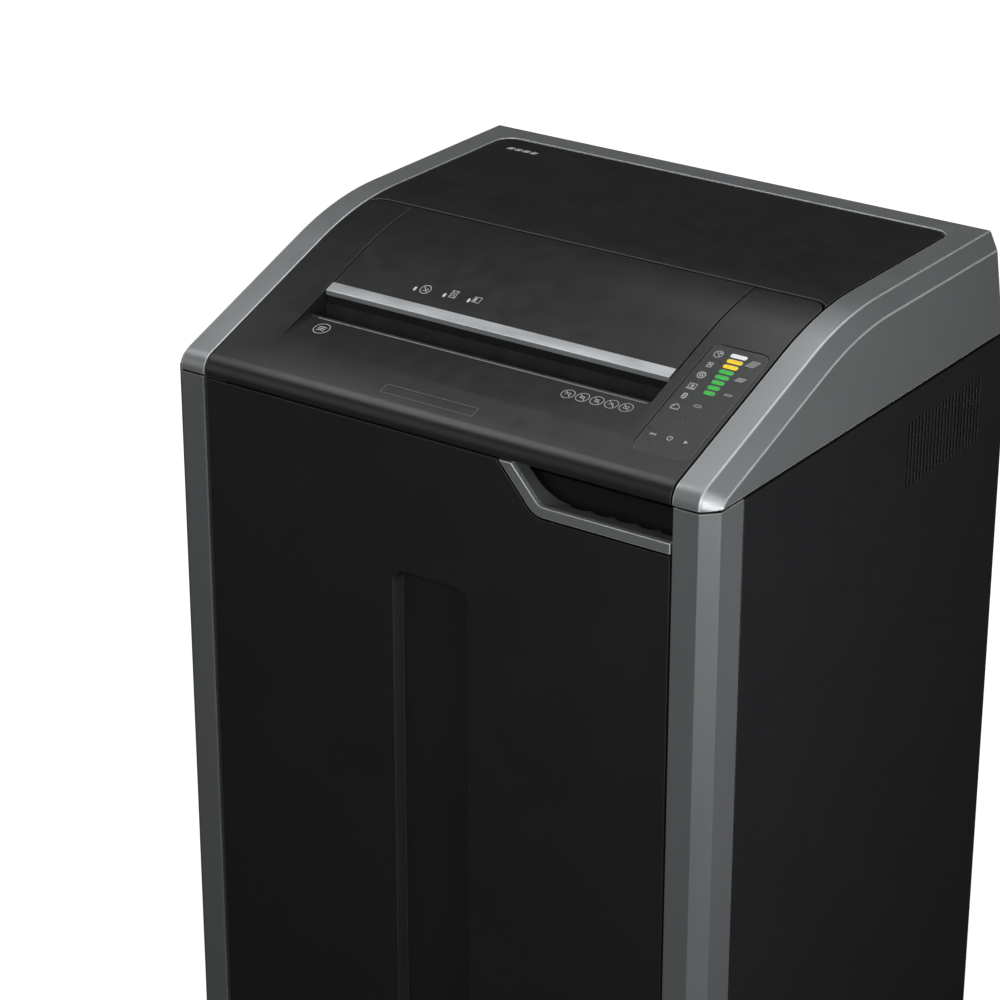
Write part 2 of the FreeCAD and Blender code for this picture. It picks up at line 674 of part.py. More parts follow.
# ---------------------------------------------------------------- door
def grip_path(offset, bend_radius, y):
    """Lower edge of the finger opening, moved down and left by offset: slant, bend, level."""
    slant = math.atan2(GRIP_DROP, GRIP_BEND_X - GRIP_START_X)
    shift = offset / math.sin(slant)
    level_z = SEAM_Z - GRIP_DROP - offset
    bend_x = GRIP_BEND_X - offset * math.tan(slant / 2)
    reach = bend_radius * math.tan(slant / 2)
    start = V(GRIP_START_X - shift, y, SEAM_Z)
    before = V(bend_x - reach * math.cos(slant), y, level_z + reach * math.sin(slant))
    after = V(bend_x + reach, y, level_z)
    centre = V(bend_x + reach, y, level_z + bend_radius)
    middle = centre - V(math.sin(slant / 2), 0, math.cos(slant / 2)) * bend_radius
    end = V(DOOR_X, y, level_z)
    return [start, before, middle, after, end]


def path_edges(points):
    start, before, middle, after, end = points
    bend = Part.Arc(before, middle, after).toShape()
    return [Part.makeLine(start, before), bend, Part.makeLine(after, end)]


def opening_prism(offset, bend_radius, y_low, y_high):
    """Solid that removes everything above the finger opening's edge."""
    points = grip_path(offset, bend_radius, y_low)
    start, end = points[0], points[-1]
    up_left = V(start.x, y_low, SEAM_Z + 20)
    up_right = V(DOOR_X + 20, y_low, SEAM_Z + 20)
    end_right = V(DOOR_X + 20, y_low, end.z)
    edges = path_edges(points) + [Part.makeLine(end, end_right), Part.makeLine(end_right, up_right),
                                  Part.makeLine(up_right, up_left), Part.makeLine(up_left, start)]
    return Part.Face(Part.Wire(edges)).extrude(V(0, y_high - y_low, 0))


def door_skin():
    """Pressed-steel door front: folded edges and a long upright recess in the middle."""
    low = (-DOOR_X, FRONT_Y, DOOR_BOTTOM_Z)
    high = (DOOR_X, DOOR_BACK_Y - 3, DOOR_TOP_Z)
    pan = block(low, high)
    hinge_edge = [e for e in pan.Edges
                  if e.Length > 800 and e.CenterOfMass.x < 0 and e.CenterOfMass.y < FRONT_Y + 1]
    pan = pan.makeFillet(6.0, hinge_edge)
    rims = [e for e in pan.Edges if e.BoundBox.YMax < FRONT_Y + 0.1 and e.CenterOfMass.x > -DOOR_X + 7]
    pan = pan.makeFillet(1.2, rims)
    pan = pan.cut(block((low[0] + SHEET, low[1] + SHEET, low[2] + SHEET),
                        (high[0] - SHEET, high[1] + 1, high[2] - SHEET)))
    pan = pan.cut(opening_prism(TRIM_WIDTH + TRIM_GAP, 24, FRONT_Y - 1, DOOR_BACK_Y))
    recess_outer = recess_solid(SHEET)
    recess_inner = recess_solid(0)
    pan = pan.cut(recess_inner).fuse(recess_outer.cut(recess_inner).common(
        block((-100, FRONT_Y + 0.01, 0), (100, 0, 2000)))).removeSplitter()
    bush_hole = rod(DOOR_BUSH_RADIUS, (DOOR_AXIS_X, DOOR_AXIS_Y, BASE_Z), (DOOR_AXIS_X, DOOR_AXIS_Y, TOP_Z))
    return pan.cut(bush_hole)


def recess_solid(grow):
    """The door's upright recess, drafted inwards."""
    x_left, x_right = -44.0 - grow, 47.0 + grow
    z_low, z_high = 250.0 - grow, SEAM_Z - 148 + grow
    draft = 4.0
    depth = 12.0 + grow

    def loop(y, shrink):
        low = (x_left + shrink, z_low + shrink)
        high = (x_right - shrink, z_high - shrink)
        radius = 15.0 + grow - shrink
        corners = [(low[0] + radius, low[1] + radius, 225), (high[0] - radius, low[1] + radius, 315),
                   (high[0] - radius, high[1] - radius, 45), (low[0] + radius, high[1] - radius, 135)]
        arcs = []
        for cx, cz, middle in corners:
            ends = [V(cx + radius * math.cos(math.radians(a)), y, cz + radius * math.sin(math.radians(a)))
                    for a in (middle - 45, middle, middle + 45)]
            arcs.append(Part.Arc(*ends).toShape())
        edges = []
        for here, following in zip(arcs, arcs[1:] + arcs[:1]):
            edges += [here, Part.makeLine(here.Vertexes[-1].Point, following.Vertexes[0].Point)]
        return Part.Wire(edges)

    return Part.makeLoft([loop(FRONT_Y - 1, 0), loop(FRONT_Y + depth, draft)], True, True)


def door_liner():
    """Flat inner panel that closes the door's back."""
    high = (DOOR_X - 2, DOOR_BACK_Y, DOOR_TOP_Z - 2)
    liner = block((-DOOR_X + 2, DOOR_BACK_Y - 2.5, DOOR_BOTTOM_Z + 2), high)
    return liner.cut(opening_prism(TRIM_WIDTH + 4.0, 24, DOOR_BACK_Y - 5, DOOR_BACK_Y + 5))


def door_trim():
    """Grey strip round the finger opening, flush with the door's face."""
    band = opening_prism(TRIM_WIDTH, 22, FRONT_Y - 0.5, FRONT_Y + 7)
    band = band.cut(opening_prism(0, 12, FRONT_Y - 2, FRONT_Y + 8))
    limit = block((0, FRONT_Y, 0), (DOOR_X, FRONT_Y + 6, DOOR_TOP_Z))
    return band.common(limit)


def door_grip():
    """Black ledge behind the trim, with a scalloped back edge for the fingers."""
    front_y = FRONT_Y + 6.2
    outer = [grip_path(3.0, 14, front_y), grip_path(3.0, 60, LEDGE_BACK_Y)]
    inner = [grip_path(0.2, 11, front_y), grip_path(0.2, 57, LEDGE_BACK_Y)]

    def ribbon(out_points, in_points):
        back = [Part.makeLine(out_points[-1], in_points[-1])]
        front = [Part.makeLine(in_points[0], out_points[0])]
        return Part.Wire(path_edges(out_points) + back + path_edges(in_points)[::-1] + front)

    ledge = Part.makeLoft([ribbon(outer[0], inner[0]), ribbon(outer[1], inner[1])], True, True)
    ledge = ledge.common(block((0, front_y - 1, 0), (DOOR_X - 0.5, LEDGE_BACK_Y + 1, DOOR_TOP_Z)))
    pitch = 25.0
    cuts = [rod(18, (DOOR_X - pitch * (i + 0.5), LEDGE_BACK_Y + 13.5, 880),
                (DOOR_X - pitch * (i + 0.5), LEDGE_BACK_Y + 13.5, 960)) for i in range(SCALLOPS)]
    return ledge.cut(group(cuts))


def door_bushes():
    """Nylon hinge bushes in the door's lower and upper corners."""
    bushes = []
    for z_low, z_high in ((DOOR_BOTTOM_Z, DOOR_BOTTOM_Z + 18), (DOOR_TOP_Z - 18, DOOR_TOP_Z)):
        start = (DOOR_AXIS_X, DOOR_AXIS_Y, z_low)
        end = (DOOR_AXIS_X, DOOR_AXIS_Y, z_high)
        bushes.append(tube(DOOR_BUSH_RADIUS - 0.05, DOOR_PIN_RADIUS + RUNNING, start, end))
    return group(bushes)


def door_hinge_pins():
    """Fixed pins on the plinth and on a bracket under the seam."""
    lower = rod(DOOR_PIN_RADIUS, (DOOR_AXIS_X, DOOR_AXIS_Y, DOOR_BOTTOM_Z - 3),
                (DOOR_AXIS_X, DOOR_AXIS_Y, DOOR_BOTTOM_Z + 15))
    collar = rod(8, (DOOR_AXIS_X, DOOR_AXIS_Y, DOOR_BOTTOM_Z - 3),
                 (DOOR_AXIS_X, DOOR_AXIS_Y, DOOR_BOTTOM_Z - 0.5))
    bracket = block((-DOOR_X, FRONT_Y + 3, SEAM_Z - 0.8), (-250, -240, SEAM_Z + 0.8))
    upper = rod(DOOR_PIN_RADIUS, (DOOR_AXIS_X, DOOR_AXIS_Y, DOOR_TOP_Z - 15),
                (DOOR_AXIS_X, DOOR_AXIS_Y, SEAM_Z))
    return group([fuse([lower, collar]), fuse([bracket, upper])])


def door_catch():
    """Magnetic catch on the right-hand post."""
    body = rounded_block((255, -262, 480), (276.5, -240, 530), 2)
    poles = [block((258 + 7 * i, -264.5, 484), (260.5 + 7 * i, -262, 526)) for i in range(3)]
    return fuse([body] + poles)


def door_switch():
    """Interlock microswitch that stops the cutters when the door opens."""
    body = rounded_block((256, -262, 560), (276.5, -250, 590), 1.5)
    plunger = rod(2, (266, -264.8, 575), (266, -262, 575))
    return fuse([body, plunger])


# ---------------------------------------------------------------- bin
def waste_bin():
    """Pull-out bin with a rolled rim, a hand hole in front and stiffening ribs."""
    shell = open_box((-BIN_X, BIN_FRONT_Y, BIN_BOTTOM_Z), (BIN_X, BIN_BACK_Y, BIN_TOP_Z), BIN_WALL)
    rim_outer = block((-BIN_X - 3, BIN_FRONT_Y - 3, BIN_TOP_Z - 10), (BIN_X + 3, BIN_BACK_Y + 3, BIN_TOP_Z))
    rim_inner = block((-BIN_X + BIN_WALL, BIN_FRONT_Y + BIN_WALL, BIN_TOP_Z - 11),
                      (BIN_X - BIN_WALL, BIN_BACK_Y - BIN_WALL, BIN_TOP_Z + 1))
    shell = fuse([shell, rim_outer.cut(rim_inner)])
    hole = rounded_block((-60, BIN_FRONT_Y - 10, 690), (60, BIN_FRONT_Y + 10, 735), 16, (0, 1, 0))
    return shell.cut(hole)


def bin_handle():
    """Bezel grip clipped into the bin's hand hole."""
    outer = rounded_block((-68, BIN_FRONT_Y - 4, 682), (68, BIN_FRONT_Y - 0.2, 743), 22, (0, 1, 0))
    inner = rounded_block((-57, BIN_FRONT_Y - 6, 693), (57, BIN_FRONT_Y + 16, 732), 14, (0, 1, 0))
    sleeve = rounded_block((-59.8, BIN_FRONT_Y - 2, 690.2), (59.8, BIN_FRONT_Y + 8, 734.8), 15.8, (0, 1, 0))
    return fuse([outer, sleeve]).cut(inner)


# ---------------------------------------------------------------- cutting unit
def chassis_plate(side):
    """Thick end plate that carries the cutter bearings; the right one also holds the drive."""
    x_low = CUT_X + side * CHASSIS_GAP - (CHASSIS_THICK if side < 0 else 0)
    back_y = 50 if side > 0 else -70
    top_z = SEAM_Z + 34
    foot_z = SHELF_Z + SKIN
    points = [(-226, foot_z), (back_y, foot_z), (back_y, top_z), (-150, top_z), (-226, SEAM_Z + 8)]
    plate = plate_yz(points, x_low, x_low + CHASSIS_THICK)
    holes = [rod(BEARING_RADIUS + RUNNING, (x_low - 1, y, CUT_Z), (x_low + CHASSIS_THICK + 1, y, CUT_Z))
             for y in (FRONT_CUT_Y, REAR_CUT_Y)]
    if side > 0:
        my, mz = motor_axis()
        sy, sz = spindle_axis()
        holes.append(rod(30, (x_low - 1, my, mz), (x_low + CHASSIS_THICK + 1, my, mz)))
        holes.append(rod(SPINDLE_RADIUS + RUNNING, (x_low - 1, sy, sz), (x_low + CHASSIS_THICK + 1, sy, sz)))
    return plate.cut(group(holes))


def spindle_axis():
    distance = COARSE * (DRIVE_TEETH + SMALL_TEETH) / 2
    return REAR_CUT_Y + distance * math.cos(DRIVE_LEAN), CUT_Z + distance * math.sin(DRIVE_LEAN)


def motor_axis():
    y, z = spindle_axis()
    distance = FINE * (LARGE_TEETH + MOTOR_TEETH) / 2
    return y + distance * math.cos(MOTOR_LEAN), z + distance * math.sin(MOTOR_LEAN)


def cutter_bearings():
    """Four flanged bearings, two for each cutter."""
    bearings = []
    for side in (-1, 1):
        inner_x = CUT_X + side * CHASSIS_GAP
        outer_x = inner_x + side * CHASSIS_THICK
        for y in (FRONT_CUT_Y, REAR_CUT_Y):
            sleeve = rod(BEARING_RADIUS, (inner_x, y, CUT_Z), (outer_x, y, CUT_Z))
            flange = rod(BEARING_RADIUS + 4, (outer_x, y, CUT_Z), (outer_x + side * 3, y, CUT_Z))
            bore = rod(JOURNAL_RADIUS + RUNNING, (inner_x - side, y, CUT_Z), (outer_x + side * 5, y, CUT_Z))
            bearings.append(sleeve.fuse(flange).cut(bore))
    return group(bearings)


def disc_profile(y):
    """Outline of one cutting disc: hooked teeth round a circle."""
    step = 2 * math.pi / DISC_HOOKS
    points = []
    for i in range(DISC_HOOKS):
        tip = i * step
        points.append((DISC_RADIUS, tip))
        points.append((DISC_RADIUS - 4.5, tip + 0.10))
        points.append((DISC_RADIUS, tip + 0.42))
    edges = []
    at = [V(0, y + r * math.cos(a), CUT_Z + r * math.sin(a)) for r, a in points]
    for i in range(DISC_HOOKS):
        tip, notch, back = at[3 * i: 3 * i + 3]
        following = at[(3 * i + 3) % len(at)]
        middle_angle = (i * step + 0.42 + (i + 1) * step) / 2
        middle = V(0, y + DISC_RADIUS * math.cos(middle_angle), CUT_Z + DISC_RADIUS * math.sin(middle_angle))
        edges += [Part.makeLine(tip, notch), Part.makeLine(notch, back)]
        edges.append(Part.Arc(back, middle, following).toShape())
    return Part.Face(Part.Wire(edges))


def cutter(y, disc_centres, left_reach, right_reach, twist):
    """One solid-steel cutting roller: core, discs, journals and gear seats."""
    face = disc_profile(y)
    discs = []
    for i, x in enumerate(disc_centres):
        disc = face.extrude(V(DISC_THICK, 0, 0))
        disc.rotate(V(0, y, CUT_Z), V(1, 0, 0), twist * i)
        disc.translate(V(CUT_X + x - DISC_THICK / 2, 0, 0))
        discs.append(disc)
    core = rod(CORE_RADIUS, (CUT_X - CUT_HALF - 3, y, CUT_Z), (CUT_X + CUT_HALF + 3, y, CUT_Z))
    inner = CHASSIS_GAP + CHASSIS_THICK + 4
    journal = rod(JOURNAL_RADIUS, (CUT_X - inner, y, CUT_Z), (CUT_X + inner, y, CUT_Z))
    stubs = rod(STUB_RADIUS, (CUT_X - inner - left_reach, y, CUT_Z), (CUT_X + inner + right_reach, y, CUT_Z))
    return fuse([core, journal, stubs] + discs)


def front_cutter():
    return cutter(FRONT_CUT_Y, FRONT_DISCS, 22, 0.5, 11)


def rear_cutter():
    return cutter(REAR_CUT_Y, REAR_DISCS, 22, 20, -11)


def involute(angle):
    return math.tan(angle) - angle


def gear(teeth, module, x_low, width, centre, tooth_angle, bore):
    """Spur gear on the X axis, with one tooth centred on tooth_angle in the Y-Z plane."""
    pitch_radius = module * teeth / 2
    base_radius = pitch_radius * math.cos(PRESSURE)
    tip_radius = pitch_radius + 0.8 * module
    root_radius = pitch_radius - 1.1 * module
    backlash = 0.35
    half_tooth_angle = (math.pi * module / 2 - backlash) / (2 * pitch_radius)
    root_flare = 0.1 * module / pitch_radius
    flank = []
    start_radius = max(base_radius, root_radius)
    for k in range(5):
        radius = start_radius + (tip_radius - start_radius) * k / 4
        pressure = math.acos(min(1.0, base_radius / radius))
        flank.append((radius, half_tooth_angle + involute(PRESSURE) - involute(pressure)))
    loop = []
    for i in range(teeth):
        middle = tooth_angle + 2 * math.pi * i / teeth
        loop.append((root_radius, middle - flank[0][1] - root_flare))
        loop += [(r, middle - a) for r, a in flank]
        loop += [(r, middle + a) for r, a in flank[::-1]]
        loop.append((root_radius, middle + flank[0][1] + root_flare))
    y, z = centre
    points = [(y + r * math.cos(a), z + r * math.sin(a)) for r, a in loop]
    wheel = plate_yz(points, x_low, x_low + width)
    return wheel.cut(rod(bore, (x_low - 1, y, z), (x_low + width + 1, y, z)))


def half_tooth(teeth):
    return math.pi / teeth


def front_sync_gear():
    return gear(SYNC_TEETH, COARSE, GEAR_X_LEFT, GEAR_WIDTH, (FRONT_CUT_Y, CUT_Z), 0.0, STUB_RADIUS)


def rear_sync_gear():
    angle = math.pi + half_tooth(SYNC_TEETH)
    return gear(SYNC_TEETH, COARSE, GEAR_X_LEFT, GEAR_WIDTH, (REAR_CUT_Y, CUT_Z), angle, STUB_RADIUS)


def drive_gear():
    """Large gear on the rear cutter, lightened by round holes."""
    wheel = gear(DRIVE_TEETH, COARSE, GEAR_X_RIGHT, GEAR_WIDTH, (REAR_CUT_Y, CUT_Z), DRIVE_LEAN, STUB_RADIUS)
    holes = []
    for i in range(6):
        angle = math.radians(60 * i)
        y = REAR_CUT_Y + 30 * math.cos(angle)
        z = CUT_Z + 30 * math.sin(angle)
        holes.append(rod(8, (GEAR_X_RIGHT - 1, y, z), (GEAR_X_RIGHT + GEAR_WIDTH + 1, y, z)))
    return wheel.cut(group(holes))


def reduction_gear():
    """Compound gear between the motor pinion and the drive gear."""
    centre = spindle_axis()
    small = gear(SMALL_TEETH, COARSE, GEAR_X_RIGHT, GEAR_WIDTH, centre,
                 DRIVE_LEAN + math.pi + half_tooth(SMALL_TEETH), SPINDLE_RADIUS + RUNNING)
    large = gear(LARGE_TEETH, FINE, GEAR_X_RIGHT + GEAR_WIDTH + 1, 12, centre, MOTOR_LEAN,
                 SPINDLE_RADIUS + RUNNING)
    y, z = centre
    hub_start = (GEAR_X_RIGHT + GEAR_WIDTH - 0.5, y, z)
    hub = tube(13, SPINDLE_RADIUS + RUNNING, hub_start, (GEAR_X_RIGHT + GEAR_WIDTH + 1.5, y, z))
    return fuse([small, hub, large])


def gear_spindle():
    """Fixed pin that the compound gear runs on, with a collar and a clip."""
    y, z = spindle_axis()
    x_low = CUT_X + CHASSIS_GAP
    pin = rod(SPINDLE_RADIUS, (x_low, y, z), (GEAR_X_RIGHT + 34, y, z))
    collar = rod(10, (CUT_X + CHASSIS_GAP + CHASSIS_THICK, y, z), (GEAR_X_RIGHT - 1, y, z))
    clip = rod(9, (GEAR_X_RIGHT + 30, y, z), (GEAR_X_RIGHT + 32, y, z))
    return fuse([pin, collar, clip])


def motor_body():
    """Motor casing with cooling fins, open bore for the rotor, end bells and feet."""
    y, z = motor_axis()
    x_high = CUT_X + CHASSIS_GAP
    body = rod(MOTOR_RADIUS - 4, (MOTOR_X_LOW, y, z), (x_high, y, z))
    fins = []
    for i in range(24):
        angle = 15 * i
        fin_low = (MOTOR_X_LOW + 15, y - 1.2, z + MOTOR_RADIUS - 8)
        fin = block(fin_low, (x_high - 15, y + 1.2, z + MOTOR_RADIUS))
        fin.rotate(V(0, y, z), V(1, 0, 0), angle)
        fins.append(fin)
    bore = rod(33, (MOTOR_X_LOW + 12, y, z), (x_high - 12, y, z))
    shaft_hole = rod(SHAFT_RADIUS + RUNNING, (MOTOR_X_LOW - 1, y, z), (x_high + 1, y, z))
    return fuse([body] + fins).cut(fuse([bore, shaft_hole]))


def motor_rotor():
    """Rotor core on its shaft, with the motor pinion cut on the end."""
    y, z = motor_axis()
    x_high = CUT_X + CHASSIS_GAP
    core = rod(32, (MOTOR_X_LOW + 20, y, z), (x_high - 20, y, z))
    shaft = rod(SHAFT_RADIUS, (MOTOR_X_LOW - 30, y, z), (GEAR_X_RIGHT + GEAR_WIDTH + 20, y, z))
    pinion = gear(MOTOR_TEETH, FINE, GEAR_X_RIGHT + GEAR_WIDTH, 16, (y, z),
                  MOTOR_LEAN + math.pi + half_tooth(MOTOR_TEETH), 7.5)
    return fuse([core, shaft, pinion])


def cooling_fan():
    """Eight-blade fan on the motor's free end."""
    y, z = motor_axis()
    x_low = MOTOR_X_LOW - 26
    hub = tube(16, SHAFT_RADIUS, (x_low, y, z), (x_low + 18, y, z))
    blades = []
    for i in range(8):
        blade = block((x_low + 2, y - 1.0, z + 14), (x_low + 16, y + 1.0, z + 44))
        blade.rotate(V(x_low + 9, y, z), V(0, 0, 1), 35)
        blade.rotate(V(0, y, z), V(1, 0, 0), 45 * i)
        blades.append(blade)
    return fuse([hub] + blades)


def stripper_comb(y_bar, y_axis, gaps):
    """Bar with one finger in every gap between discs."""
    direction = 1 if y_bar < y_axis else -1
    x_low = CUT_X - CHASSIS_GAP
    x_high = CUT_X + CHASSIS_GAP
    bar_low, bar_high = sorted((y_bar, y_bar - direction * 6.5))
    bar = block((x_low, bar_low, CUT_Z - 10), (x_high, bar_high, CUT_Z + 10))
    fingers = []
    for x in gaps:
        y_low, y_high = sorted((y_bar - direction, y_axis))
        fingers.append(block((CUT_X + x - 2.5, y_low, CUT_Z - 8), (CUT_X + x + 2.5, y_high, CUT_Z + 8)))
    comb = fuse([bar] + fingers)
    return comb.cut(rod(CORE_RADIUS + 1.5, (x_low - 1, y_axis, CUT_Z), (x_high + 1, y_axis, CUT_Z)))


def chassis_plates():
    """Left and right end plates."""
    return group([chassis_plate(-1), chassis_plate(1)])


def stripper_combs():
    """Front and rear combs that keep the cutters clear of shreds."""
    reach = DISC_RADIUS + 1.5
    front_gaps = [x + DISC_PITCH / 2 for x in FRONT_DISCS[:-1]]
    rear_gaps = [x + DISC_PITCH / 2 for x in REAR_DISCS[:-1]]
    front = stripper_comb(FRONT_CUT_Y - reach, FRONT_CUT_Y, front_gaps)
    rear = stripper_comb(REAR_CUT_Y + reach, REAR_CUT_Y, rear_gaps)
    return group([front, rear])


def chassis_pins():
    """Turned pins fixed in the chassis plates: three tie rods and the gear spindle."""
    rods = [rod(TIE_ROD_RADIUS, (CUT_X - CHASSIS_GAP, y, z), (CUT_X + CHASSIS_GAP, y, z))
            for y, z in ((-214, 864), (-96, 864), (-96, 975))]
    return group(rods + [gear_spindle()])


def throat_guides():
    """Polished sheet guides that lead the paper from the lip down to the cutters."""
    left = THROAT_LEFT + 0.5
    right = THROAT_RIGHT - 0.5
    front = plate_yz([
        (LIP_Y + 0.2, LIP_Z - 0.2), (LIP_Y + 2.4, LIP_Z + 0.4), (-171.0, GUIDE_FOOT_Z + 12),
        (-171.0, GUIDE_FOOT_Z), (-172.5, GUIDE_FOOT_Z), (-172.5, GUIDE_FOOT_Z + 12), (LIP_Y + 0.2, LIP_Z - 3),
    ], left, right)
    rear = block((left, NOSE_Y - 0.5, GUIDE_FOOT_Z), (right, NOSE_Y + 1, NOSE_BOTTOM_Z - 0.3))
    return group([front, rear])


def control_board():
    """Circuit board on stand-offs at the back of the shelf, with its larger components."""
    z = SHELF_Z + SKIN
    board = block((-200, 120, z + 8), (-40, 230, z + 9.6))
    posts = [rod(3, (x, y, z), (x, y, z + 8)) for x in (-194, -46) for y in (126, 224)]
    relays = [block((-190 + 30 * i, 190, z + 9.6), (-168 + 30 * i, 215, z + 28)) for i in range(3)]
    cans = [rod(9, (-80, 140 + 24 * i, z + 9.6), (-80, 140 + 24 * i, z + 36)) for i in range(3)]
    chip = block((-150, 145, z + 9.6), (-120, 165, z + 12))
    return fuse([board] + posts + relays + cans + [chip])


def power_inlet():
    """Recessed appliance inlet with three blades."""
    front = REAR_Y - 0.3
    body = block((INLET_X - 13.8, REAR_Y - 24, INLET_Z - 9.8), (INLET_X + 13.8, front, INLET_Z + 9.8))
    cavity_low = (INLET_X - 11.5, REAR_Y - 20, INLET_Z - 7.5)
    cavity = rounded_block(cavity_low, (INLET_X + 11.5, REAR_Y + 1, INLET_Z + 7.5), 3, (0, 1, 0))
    blades = [block((INLET_X + x - 1, REAR_Y - 20.5, INLET_Z + z - 2),
                    (INLET_X + x + 1, REAR_Y - 5, INLET_Z + z + 2))
              for x, z in ((-7, -2), (0, 2), (7, -2))]
    return fuse([body.cut(cavity)] + blades)


def switch_housing():
    """Frame of the main switch, with the rocker's pivot pin."""
    frame_low = (SWITCH_X - 10.8, REAR_Y - 18, INLET_Z - 13.8)
    frame = block(frame_low, (SWITCH_X + 10.8, REAR_Y - 0.3, INLET_Z + 13.8))
    well_low = (SWITCH_X - 8.5, REAR_Y - 16.5, INLET_Z - 11.5)
    well = block(well_low, (SWITCH_X + 8.5, REAR_Y + 1, INLET_Z + 11.5))
    pin = rod(1.5, (SWITCH_X - 9, ROCKER_Y, INLET_Z), (SWITCH_X + 9, ROCKER_Y, INLET_Z))
    return fuse([frame.cut(well), pin])


def power_rocker():
    """Rocker cap of the main switch, resting with its lower half pressed in."""
    tip = 10.3
    points = [(ROCKER_Y - 3.4, INLET_Z - 3.4), (ROCKER_Y + 4.2, INLET_Z - tip),
              (ROCKER_Y + 6.2, INLET_Z - tip), (ROCKER_Y + 4.6, INLET_Z), (ROCKER_Y + 6.2, INLET_Z + tip),
              (ROCKER_Y + 4.2, INLET_Z + tip), (ROCKER_Y - 3.4, INLET_Z + 3.4)]
    cap = plate_yz(points, SWITCH_X - 8, SWITCH_X + 8)
    cap = cap.cut(rod(1.5 + RUNNING, (SWITCH_X - 10, ROCKER_Y, INLET_Z), (SWITCH_X + 10, ROCKER_Y, INLET_Z)))
    cap.rotate(V(0, ROCKER_Y, INLET_Z), V(1, 0, 0), -ROCKER_TILT)
    return cap


# ---------------------------------------------------------------- castors


def castor_place(corner):
    side_x, side_y = CORNERS[corner]
    return side_x * CASTOR_X, side_y * CASTOR_Y


def castor_mounts():
    """Mounting plates with headed kingpins, bolted under the cabinet floor."""
    mounts = []
    for corner in CORNERS:
        x, y = castor_place(corner)
        plate = rounded_block((x - 30, y - 26, BASE_Z - 3), (x + 30, y + 26, BASE_Z), 6)
        boss = rod(11, (x, y, FORK_TOP + 0.6), (x, y, BASE_Z - 3))
        pin = rod(KINGPIN_RADIUS, (x, y, FORK_TOP - FORK_PLATE - 3), (x, y, BASE_Z - 3))
        head = rod(8, (x, y, FORK_TOP - FORK_PLATE - 3.4), (x, y, FORK_TOP - FORK_PLATE - 0.4))
        bolts = [rod(4, (x + dx, y + dy, BASE_Z - 6), (x + dx, y + dy, BASE_Z - 3))
                 for dx in (-24, 24) for dy in (-20, 20)]
        mounts.append(fuse([plate, boss, pin, head] + bolts))
    return group(mounts)


def castor_fork(corner):
    """Swivelling fork with its axle; it trails to the back."""
    x, y = castor_place(corner)
    axle_y = y + CASTOR_TRAIL
    half = WHEEL_WIDTH / 2 + 1.5
    top = rod(19, (x, y, FORK_TOP - FORK_PLATE), (x, y, FORK_TOP))
    cheeks = []
    for x_low in (x - half - 2.5, x + half):
        cheeks.append(plate_yz([(y - 12, FORK_TOP), (y + 14, FORK_TOP), (axle_y + 8, WHEEL_RADIUS + 2),
                                (axle_y + 6, WHEEL_RADIUS - 8), (axle_y - 6, WHEEL_RADIUS - 8),
                                (y - 12, FORK_TOP - 10)], x_low, x_low + 2.5))
    axle = rod(AXLE_RADIUS, (x - half - 4, axle_y, WHEEL_RADIUS), (x + half + 4, axle_y, WHEEL_RADIUS))
    hole = rod(KINGPIN_RADIUS + RUNNING, (x, y, FORK_TOP - 10), (x, y, FORK_TOP + 1))
    return fuse([top, axle] + cheeks).cut(hole)


def castor_wheel(corner):
    """Twin-groove tread on a hub that runs on the fork's axle."""
    x, y = castor_place(corner)
    axle_y = y + CASTOR_TRAIL
    half = WHEEL_WIDTH / 2
    start = (x - half, axle_y, WHEEL_RADIUS)
    end = (x + half, axle_y, WHEEL_RADIUS)
    wheel = rod(WHEEL_RADIUS, start, end)
    wheel = wheel.makeFillet(2.5, [e for e in wheel.Edges if e.Curve.TypeId == "Part::GeomCircle"])
    for x_low, x_high in ((x - half - 1, x - half + 4), (x + half - 4, x + half + 1)):
        wheel = wheel.cut(tube(18, 8, (x_low, axle_y, WHEEL_RADIUS), (x_high, axle_y, WHEEL_RADIUS)))
    bore_start = (x - half - 1, axle_y, WHEEL_RADIUS)
    bore = rod(AXLE_RADIUS + RUNNING, bore_start, (x + half + 1, axle_y, WHEEL_RADIUS))
    return wheel.cut(bore)


